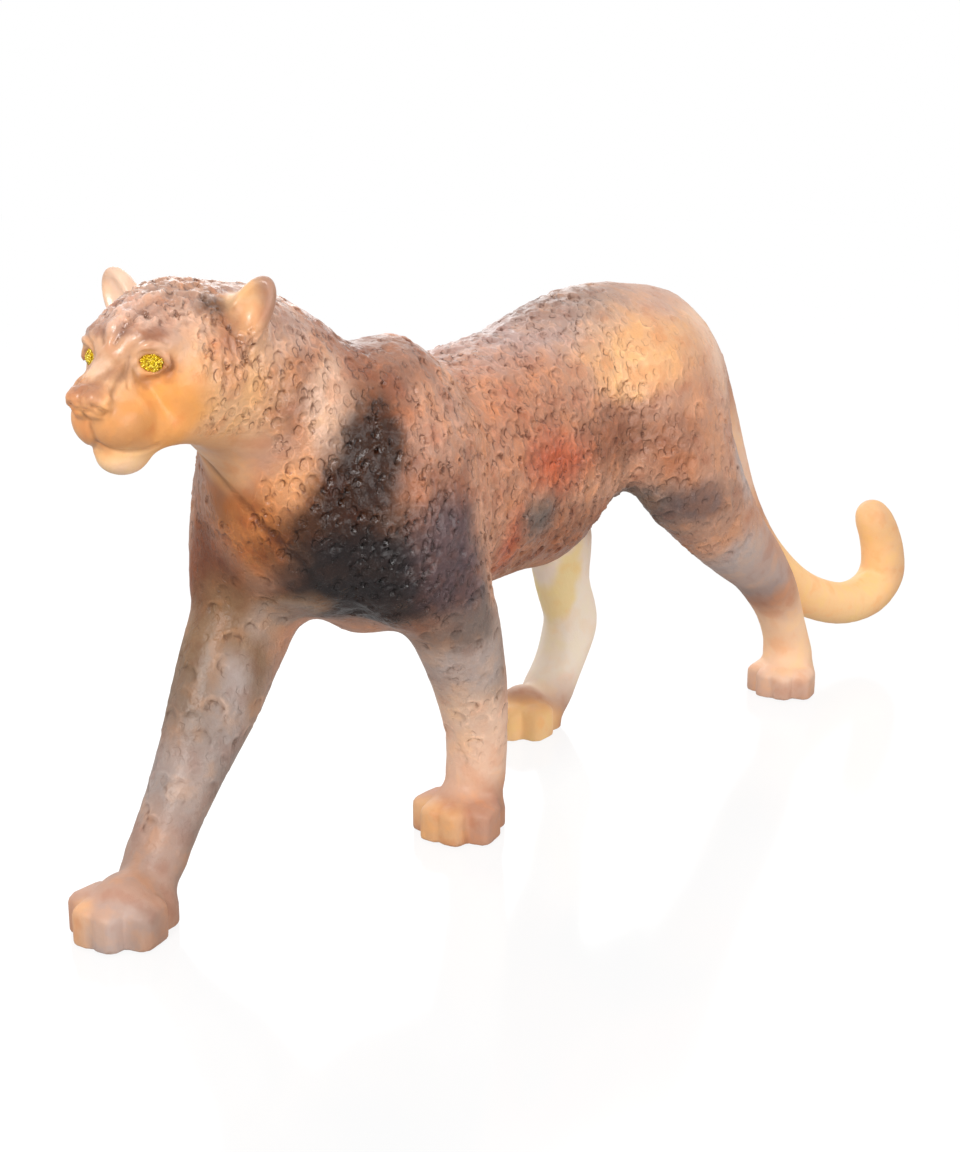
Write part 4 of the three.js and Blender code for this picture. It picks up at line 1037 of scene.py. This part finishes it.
def grain_tree():
    """Covers a disc with small grains."""
    nodes, given = new_tree("eye grains", [("Radius", "Float", 0.0004), ("Seed", "Int", 3)])
    radius = Term(nodes, given["Radius"])
    spots = nodes.add("GeometryNodeDistributePointsOnFaces", {"distribute_method": "POISSON"},
                      {"Mesh": given["Geometry"], "Distance Min": radius * GRAIN_SPACING,
                       "Density Max": GRAINS_TRIED, "Seed": given["Seed"]})
    ball = nodes.add("GeometryNodeMeshIcoSphere", None, {"Radius": radius, "Subdivisions": 2})
    size = nodes.add("FunctionNodeRandomValue", {"data_type": "FLOAT"},
                     {2: GRAIN_SIZES[0], 3: GRAIN_SIZES[1], "Seed": 5})
    tilt = nodes.add("FunctionNodeRandomValue", {"data_type": "FLOAT_VECTOR"},
                     {0: (-3.0,) * 3, 1: (3.0,) * 3})
    grains = nodes.add("GeometryNodeInstanceOnPoints", None,
                       {"Points": spots.outputs["Points"], "Instance": ball.outputs["Mesh"],
                        "Rotation": tilt.outputs[0], "Scale": size.outputs[1]})
    both = nodes.add("GeometryNodeJoinGeometry")
    nodes.plug(both.inputs[0], grains.outputs[0])
    nodes.plug(both.inputs[0], given["Geometry"])
    return close_tree(nodes, both.outputs[0], given["Material"])


def new_material(name):
    """A material without nodes yet, and its nodes to be."""
    material = bpy.data.materials.new(name)
    material.use_nodes = True
    return material, Nodes(material.node_tree)


def tinted(nodes, place, tints):
    """The colour of the glass, its tints laid over one another and clouded, with painted glow and a painted
    highlight among the tints and painted shade and highlight on the face.
    """

    def laid_over(colour, name, where, at, radii, fade, strength):
        away = nodes.vector("DIVIDE", nodes.vector("SUBTRACT", where, at), radii)
        share = nodes.vector("LENGTH", away).ramp(*fade, 0.0, strength)
        return nodes.mix(share, colour, (*getattr(tints, name), 1))

    run = nodes.vector("ADD", place, drift(nodes, place, *WIDE_DRIFT))
    run = nodes.vector("ADD", run, drift(nodes, place, *SMALL_DRIFT))
    colour = (*tints.clay, 1)
    for name, at, radii, strength in TINT_PLACES:
        colour = laid_over(colour, name, run, at, radii, TINT_FADE, strength)
    # The face's painted shade and painted highlight, with its dark nose and rose forehead, on both sides.
    near = nodes.vector("ADD", place, drift(nodes, place, *SHADE_DRIFT))
    for name, at, radii, strength in FACE_PAINTED_LIGHT_AND_TINTS:
        for side in (1, -1):
            spot = on_head(at[0], at[1] * side, at[2])
            colour = laid_over(colour, name, near, spot, radii, SHADE_FADE, strength)
    cloud = nodes.term(noise(nodes, place, *CLOUDS), "Fac")
    mottle = nodes.term(noise(nodes, place, *MOTTLE), "Fac")
    for pattern, share, tint in ((cloud, PEACH_CLOUDS, tints.peach), (mottle, BROWN_MOTTLE, tints.brown),
                                 (mottle, HONEY_MOTTLE, tints.honey)):
        colour = nodes.mix(pattern.ramp(*share), colour, (*tint, 1), "SOFT_LIGHT")
    return colour, cloud


def nicks(nodes, place):
    """Small open rings between the carved ones: their depth, and the painted shade and painted highlight on
    their edges.
    """
    upright = nodes.vector("MULTIPLY", nodes.vector("ADD", place, drift(nodes, place, *NICK_DRIFT)),
                           (1.0, 1.0, NICK_STRETCH))
    cells = nodes.add("ShaderNodeTexVoronoi", None, {"Vector": upright, "Scale": NICKS})
    away = nodes.vector("SUBTRACT", upright, cells.outputs["Position"])
    reach = nodes.vector("LENGTH", away) / NICK_RADIUS
    side = nodes.vector("NORMALIZE", nodes.vector("SUBTRACT", cells.outputs["Color"], (0.5, 0.5, 0.5)))
    heading = nodes.vector("DOT_PRODUCT", nodes.vector("NORMALIZE", away), side)
    depth = reach.ramp(*NICK_WALL) * (BED_EVEN + BED_SLANT * heading)
    # Painted shade in the crease on one side of each nick and painted highlight on its rim on the other, as
    # if lit from one side.
    dark = reach.bell(*NICK_CREASE) * heading.ramp(*NICK_DARK_SIDE)
    light = reach.bell(*NICK_RIM) * heading.ramp(*NICK_LIGHT_SIDE)
    return depth, dark - NICK_LIGHT * light


def glass_material(tints):
    """Satin glass with its tints run together, painted shade in the carved lines, painted highlight on their
    rims and a faint painted glow.
    """
    material, nodes = new_material("satin glass")
    place = nodes.scaled(nodes.add("ShaderNodeTexCoord").outputs["Object"], 1 / MM)
    coat = nodes.term(nodes.add("ShaderNodeAttribute", {"attribute_name": "coat"}), "Fac")
    # carved holds painted shade in creases, folds and strokes, and painted highlight, below zero, on lips,
    # buttons and proud strokes.
    carved = nodes.term(nodes.add("ShaderNodeAttribute", {"attribute_name": "carved"}), "Fac")
    colour, cloud = tinted(nodes, place, tints)
    nick, edge = nicks(nodes, place)
    # The nicks' painted shade and painted highlight are added to carved.
    carved = carved + NICK_SHARE * coat * edge
    # Painted shade darkens the glass where carved is high and painted highlight lightens it where carved is
    # low.
    crease = nodes.mix(1.0, colour, PAINTED_CREASE_SHADE, "MULTIPLY")
    colour = nodes.mix(carved.ramp(*CREASE_SHARE), colour, crease)
    rim = nodes.mix(1.0, colour, PAINTED_RIM_HIGHLIGHT, "MULTIPLY")
    colour = nodes.mix(carved.ramp(*RIM_SHARE), colour, rim)
    grit = nodes.term(noise(nodes, place, *GRIT), "Fac") * (BARE_GRIT + COAT_GRIT * coat)
    dust = nodes.term(noise(nodes, place, *DUST), "Fac")
    uneven = grit + DUST_SHARE * dust - NICK_DEPTH * nick * coat
    satin = nodes.add("ShaderNodeBump", None, {"Strength": 1.0, "Distance": BUMP_HEIGHT, "Height": uneven})
    face = nodes.vector("DISTANCE", place, HEAD_AT).ramp(*FACE_GLOSS)
    dullness = DULLNESS - COAT_LESS_DULL * coat - FACE_LESS_DULL * face + CLOUD_DULLNESS * cloud
    # The emission in the glass's own colour is a painted glow of light through the glass.
    shader = nodes.add("ShaderNodeBsdfPrincipled", None,
                       {**GLASS, "Base Color": colour, "Emission Color": colour, "Roughness": dullness,
                        "Coat Weight": face + coat.ramp(*COAT_GLOSS), "Normal": satin.outputs[0]})
    nodes.add("ShaderNodeOutputMaterial", None, {"Surface": shader.outputs[0]})
    return material


def gold_material():
    """Grains of yellow and gold glass."""
    material, nodes = new_material("gold grains")
    place = nodes.add("ShaderNodeTexCoord").outputs["Object"]
    speck = nodes.term(noise(nodes, place, *SPECKS))
    colour = nodes.mix(speck.ramp(*DARK_SPECKS), GOLD_DARK, GOLD)
    colour = nodes.mix(speck.ramp(*BRIGHT_SPECKS), colour, GOLD_BRIGHT)
    shader = nodes.add("ShaderNodeBsdfPrincipled", None,
                       {"Base Color": colour, "Roughness": 0.22, "Metallic": 0.35, "Coat Weight": 0.4})
    nodes.add("ShaderNodeOutputMaterial", None, {"Surface": shader.outputs[0]})
    return material


def new_piece(name, mesh):
    piece = bpy.data.objects.new(name, mesh)
    bpy.context.scene.collection.objects.link(piece)
    return piece


def baked(piece):
    """Turns a piece with modifiers into a plain mesh."""
    bpy.context.view_layer.update()
    evaluated = piece.evaluated_get(bpy.context.evaluated_depsgraph_get())
    mesh = bpy.data.meshes.new_from_object(evaluated)
    piece.modifiers.clear()
    old, piece.data = piece.data, mesh
    bpy.data.meshes.remove(old)
    return piece


def run_nodes(piece, tree, **values):
    """Runs a node tree over a piece with the given inputs, and bakes the result."""
    modifier = piece.modifiers.new(tree.name, "NODES")
    modifier.node_group = tree
    named = {item.name: item.identifier for item in tree.interface.items_tree if item.in_out == "INPUT"}
    for name, value in values.items():
        modifier[named[name]] = value
    return baked(piece)


def keep(mesh, name, values, kind="FLOAT"):
    """Stores one value for each vertex under a name."""
    layer = mesh.attributes.get(name) or mesh.attributes.new(name, kind, "POINT")
    layer.data.foreach_set("vector" if kind == "FLOAT_VECTOR" else "value", np.ravel(values))


class PANTHER_OT_cast(bpy.types.Operator):
    """Cast the animal in glass and press the coat into it"""
    bl_idname = "panther.cast"
    bl_label = "Glass body"

    def execute(self, context):
        sizes = context.scene.panther_sizes
        piece = new_piece("cast_panther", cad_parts["panther"].data.copy())
        even_out(piece, sizes.skin * 1.8)
        settle(piece.data)
        even_out(piece, sizes.skin)
        settle(piece.data, in_head, 2)
        refine(piece.data, in_face)
        settle(piece.data, in_face, 2)
        p = read(piece.data, "co") / MM
        regions = coat_regions(p)
        for name, values in regions.items():
            keep(piece.data, name, values)
        keep(piece.data, "coat", np.clip(sum(regions.values()) - LEG_NICKS_LESS * regions["coat_leg"], 0, 1))
        keep(piece.data, "flow", flow(p), "FLOAT_VECTOR")
        # Painted shade along the breast's fold and in the head's strokes, and painted highlight on the
        # strokes that stand proud, kept as carved.
        carved = FOLD_SHADE * breast_fold(p)
        carved[in_head(p)] += STROKE_SHADE * strokes(mirrored_head(p[in_head(p)]))
        keep(piece.data, "carved", carved)
        glass = glass_material(context.scene.panther_tints)
        rings = ring_tree()
        for region, (ring, share, spacing, depth, stretch, swell, fineness) in COAT.items():
            radius = getattr(sizes, ring) * share
            run_nodes(piece, rings, Region=region, Spacing=spacing * radius, Radius=radius,
                      Depth=depth * sizes.ring_depth, Stretch=stretch, Swell=swell * MM, Fineness=fineness,
                      Seed=COAT_SEED, Material=glass)
        thin(piece, in_head, sizes.head_faces)
        thin(piece, lambda p: ~in_head(p), sizes.body_faces)
        piece.data.shade_smooth()
        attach(piece, "root")
        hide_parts("panther")
        return {"FINISHED"}


def even_out(piece, spacing):
    """Lays the skin anew with points the same distance apart all over."""
    modifier = piece.modifiers.new("even", "REMESH")
    modifier.mode = "VOXEL"
    modifier.voxel_size = spacing
    baked(piece)


def thin(piece, chosen, faces):
    """Thins the chosen part of the skin to the given number of triangles, least where it is carved."""
    mesh = piece.data
    marked = chosen(read(mesh, "co") / MM)
    group = piece.vertex_groups.new(name="thin")
    group.add(np.flatnonzero(marked).tolist(), 1.0, "REPLACE")
    mesh.calc_loop_triangles()
    corners = np.empty(len(mesh.loop_triangles) * 3, dtype=int)
    mesh.loop_triangles.foreach_get("vertices", corners)
    inside = marked[corners.reshape(-1, 3)].all(axis=1)
    modifier = piece.modifiers.new("thin", "DECIMATE")
    modifier.vertex_group = group.name
    modifier.ratio = min(1, 1 - (inside.sum() - faces) / len(inside))
    baked(piece)
    piece.vertex_groups.clear()


def eye_disc(side, around=32, rows=20):
    """The disc set in one socket, a flattened oval, its faces in a fixed order from pole to pole."""
    slopes = np.pi * np.arange(1, rows) / rows
    angles = 2 * np.pi * np.arange(around) / around
    ring = [(np.sin(s) * np.cos(a), np.sin(s) * np.sin(a), np.cos(s)) for s in slopes for a in angles]
    ball = np.array([(0, 0, 1), *ring, (0, 0, -1)])
    last = len(ball) - 1
    faces = []
    for i in range(around):
        j = (i + 1) % around
        faces.append((0, 1 + i, 1 + j))
        for top in range(1, last - around, around):
            faces.append((top + i, top + around + i, top + around + j, top + j))
        faces.append((last, last - around + j, last - around + i))
    if side < 0:
        faces = [face[::-1] for face in faces]
    q = np.array(EYE_AT) + (ball * EYE_RADII) @ turned(EYE_TURN, 0, 0).T
    q[:, 1] *= side
    mesh = bpy.data.meshes.new("eye")
    mesh.from_pydata(((np.array(HEAD_AT) + q @ head_axes()) * MM).tolist(), [], faces)
    mesh.update()
    return mesh


class PANTHER_OT_eyes(bpy.types.Operator):
    """Set a disc of gold grains in each eye socket"""
    bl_idname = "panther.eyes"
    bl_label = "Eyes"

    def execute(self, context):
        gold = gold_material()
        grains = grain_tree()
        for name, side in (("left_eye", 1), ("right_eye", -1)):
            piece = new_piece("grained_" + name, eye_disc(side))
            run_nodes(piece, grains, Radius=context.scene.panther_sizes.grain, Seed=GRAIN_SEED,
                      Material=gold)
            piece.data.shade_smooth()
            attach(piece, "root")
            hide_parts(name)
        return {"FINISHED"}


# Soft boxes: place, aim, width and power.
LAMPS = {
    "key light": ((-1.35, -0.45, 0.9), (-0.05, 0, 0.12), 0.35, 15),
    "fill light": ((0.1, -1.5, 0.35), (0.1, 0, 0.1), 0.8, 4.5),
    "low light": ((-0.35, -0.95, 0.1), (0.05, 0.03, 0.07), 0.5, 2.6),
    "back light": ((0.9, 1.1, 0.8), (0, 0, 0.12), 1.0, 5),
}
CAMERA_AT, CAMERA_HEADING, CAMERA_PITCH = (-0.6535, -0.46, 0.29), 52, 14
CAMERA_LENS, CAMERA_SENSOR = 53.125, 36

# The pale floor: half its side, how far it lies under the soles, its grey, its glow to the glass and the
# rest of its glow to the camera, how much it mirrors and how blurred.
FLOOR_HALF, FLOOR_DROP, FLOOR_GREY, FLOOR_GLOW, FLOOR_SEEN = 6.0, 0.0002, 0.085, 0.3, 0.64
FLOOR_SHINE, FLOOR_BLUR = 0.07, 0.1

# The studio is bright towards one side and dimmer on the other; the camera sees it white.
BRIGHT_SIDE, DIM_SIDE_LIGHT, BRIGHT_SIDE_LIGHT = (0.74, 0.6, 0.3), 0.3, 1.0


def soft_light(name, at, aim, width, power):
    """A square soft box that shines from one place towards another."""
    lamp = bpy.data.lights.new(name, "AREA")
    lamp.shape = "SQUARE"
    lamp.size = width
    lamp.energy = power
    light = new_piece(name, lamp)
    light.location = at
    light.rotation_euler = (Vector(aim) - Vector(at)).to_track_quat("-Z", "Y").to_euler()


def pale_floor():
    """A wide floor that mirrors the soles faintly and blends into the studio's white."""
    corners = [(x * FLOOR_HALF, y * FLOOR_HALF, -FLOOR_DROP)
               for x, y in ((-1, -1), (1, -1), (1, 1), (-1, 1))]
    mesh = bpy.data.meshes.new("floor")
    mesh.from_pydata(corners, [], [(0, 1, 2, 3)])
    material, nodes = new_material("pale floor")
    seen = nodes.term(nodes.add("ShaderNodeLightPath"), "Is Camera Ray")
    shine = nodes.add("ShaderNodeBsdfGlossy", None, {"Roughness": FLOOR_BLUR, "Color": (1, 1, 1, 1)})
    white = nodes.add("ShaderNodeBsdfDiffuse", None, {"Color": (FLOOR_GREY, FLOOR_GREY, FLOOR_GREY, 1)})
    glow = nodes.add("ShaderNodeEmission", None,
                     {"Color": (1, 1, 1, 1), "Strength": FLOOR_GLOW + FLOOR_SEEN * seen})
    matt = nodes.add("ShaderNodeAddShader", None, {0: white.outputs[0], 1: glow.outputs[0]})
    both = nodes.add("ShaderNodeMixShader", None, {0: FLOOR_SHINE, 1: matt.outputs[0], 2: shine.outputs[0]})
    nodes.add("ShaderNodeOutputMaterial", None, {"Surface": both.outputs[0]})
    mesh.materials.append(material)
    return new_piece("floor", mesh)


def studio():
    """The white room round the panther."""
    world = bpy.data.worlds.new("studio")
    world.use_nodes = True
    nodes = Nodes(world.node_tree)
    seen = nodes.term(nodes.add("ShaderNodeLightPath"), "Is Camera Ray")
    towards = nodes.add("ShaderNodeTexCoord").outputs["Generated"]
    side = nodes.vector("DOT_PRODUCT", towards, BRIGHT_SIDE)
    strength = side.ramp(-0.5, 0.7, DIM_SIDE_LIGHT, BRIGHT_SIDE_LIGHT)
    sky = nodes.add("ShaderNodeBackground", None,
                    {"Color": (1, 1, 1, 1), "Strength": strength + seen * (1.0 - strength)})
    nodes.add("ShaderNodeOutputWorld", None, {"Surface": sky.outputs[0]})
    return world


class PANTHER_OT_stage(bpy.types.Operator):
    """Set out the pale floor, the soft lights and the camera"""
    bl_idname = "panther.stage"
    bl_label = "Floor, lights and camera"

    def execute(self, context):
        pale_floor()
        context.scene.world = studio()
        context.scene.view_settings.view_transform = "Standard"
        for name, (at, aim, width, power) in LAMPS.items():
            soft_light(name, at, aim, width, power)
        lens = bpy.data.cameras.new("camera")
        lens.lens = CAMERA_LENS
        lens.sensor_width = CAMERA_SENSOR
        camera = new_piece("camera", lens)
        camera.location = CAMERA_AT
        camera.rotation_euler = (math.radians(90 - CAMERA_PITCH), 0, -math.radians(CAMERA_HEADING))
        context.scene.camera = camera
        return {"FINISHED"}


class PANTHER_PT_panel(bpy.types.Panel):
    """The panther's parts, sizes and tints"""
    bl_label = "Glass panther"
    bl_space_type = "VIEW_3D"
    bl_region_type = "UI"
    bl_category = "Panther"

    def draw(self, context):
        for operator in STEPS:
            self.layout.operator(operator.bl_idname)
        for group in (context.scene.panther_sizes, context.scene.panther_tints):
            for name in group.__annotations__:
                self.layout.prop(group, name)


STEPS = (PANTHER_OT_cast, PANTHER_OT_eyes, PANTHER_OT_stage)
CLASSES = (PantherSizes, PantherTints, *STEPS, PANTHER_PT_panel)


def register():
    for cls in CLASSES:
        bpy.utils.register_class(cls)
    bpy.types.Scene.panther_sizes = bpy.props.PointerProperty(type=PantherSizes)
    bpy.types.Scene.panther_tints = bpy.props.PointerProperty(type=PantherTints)


def unregister():
    del bpy.types.Scene.panther_tints
    del bpy.types.Scene.panther_sizes
    for cls in reversed(CLASSES):
        bpy.utils.unregister_class(cls)


def main():
    register()
    bpy.ops.panther.cast()
    bpy.ops.panther.eyes()
    bpy.ops.panther.stage()


if __name__ == "__main__":
    main()
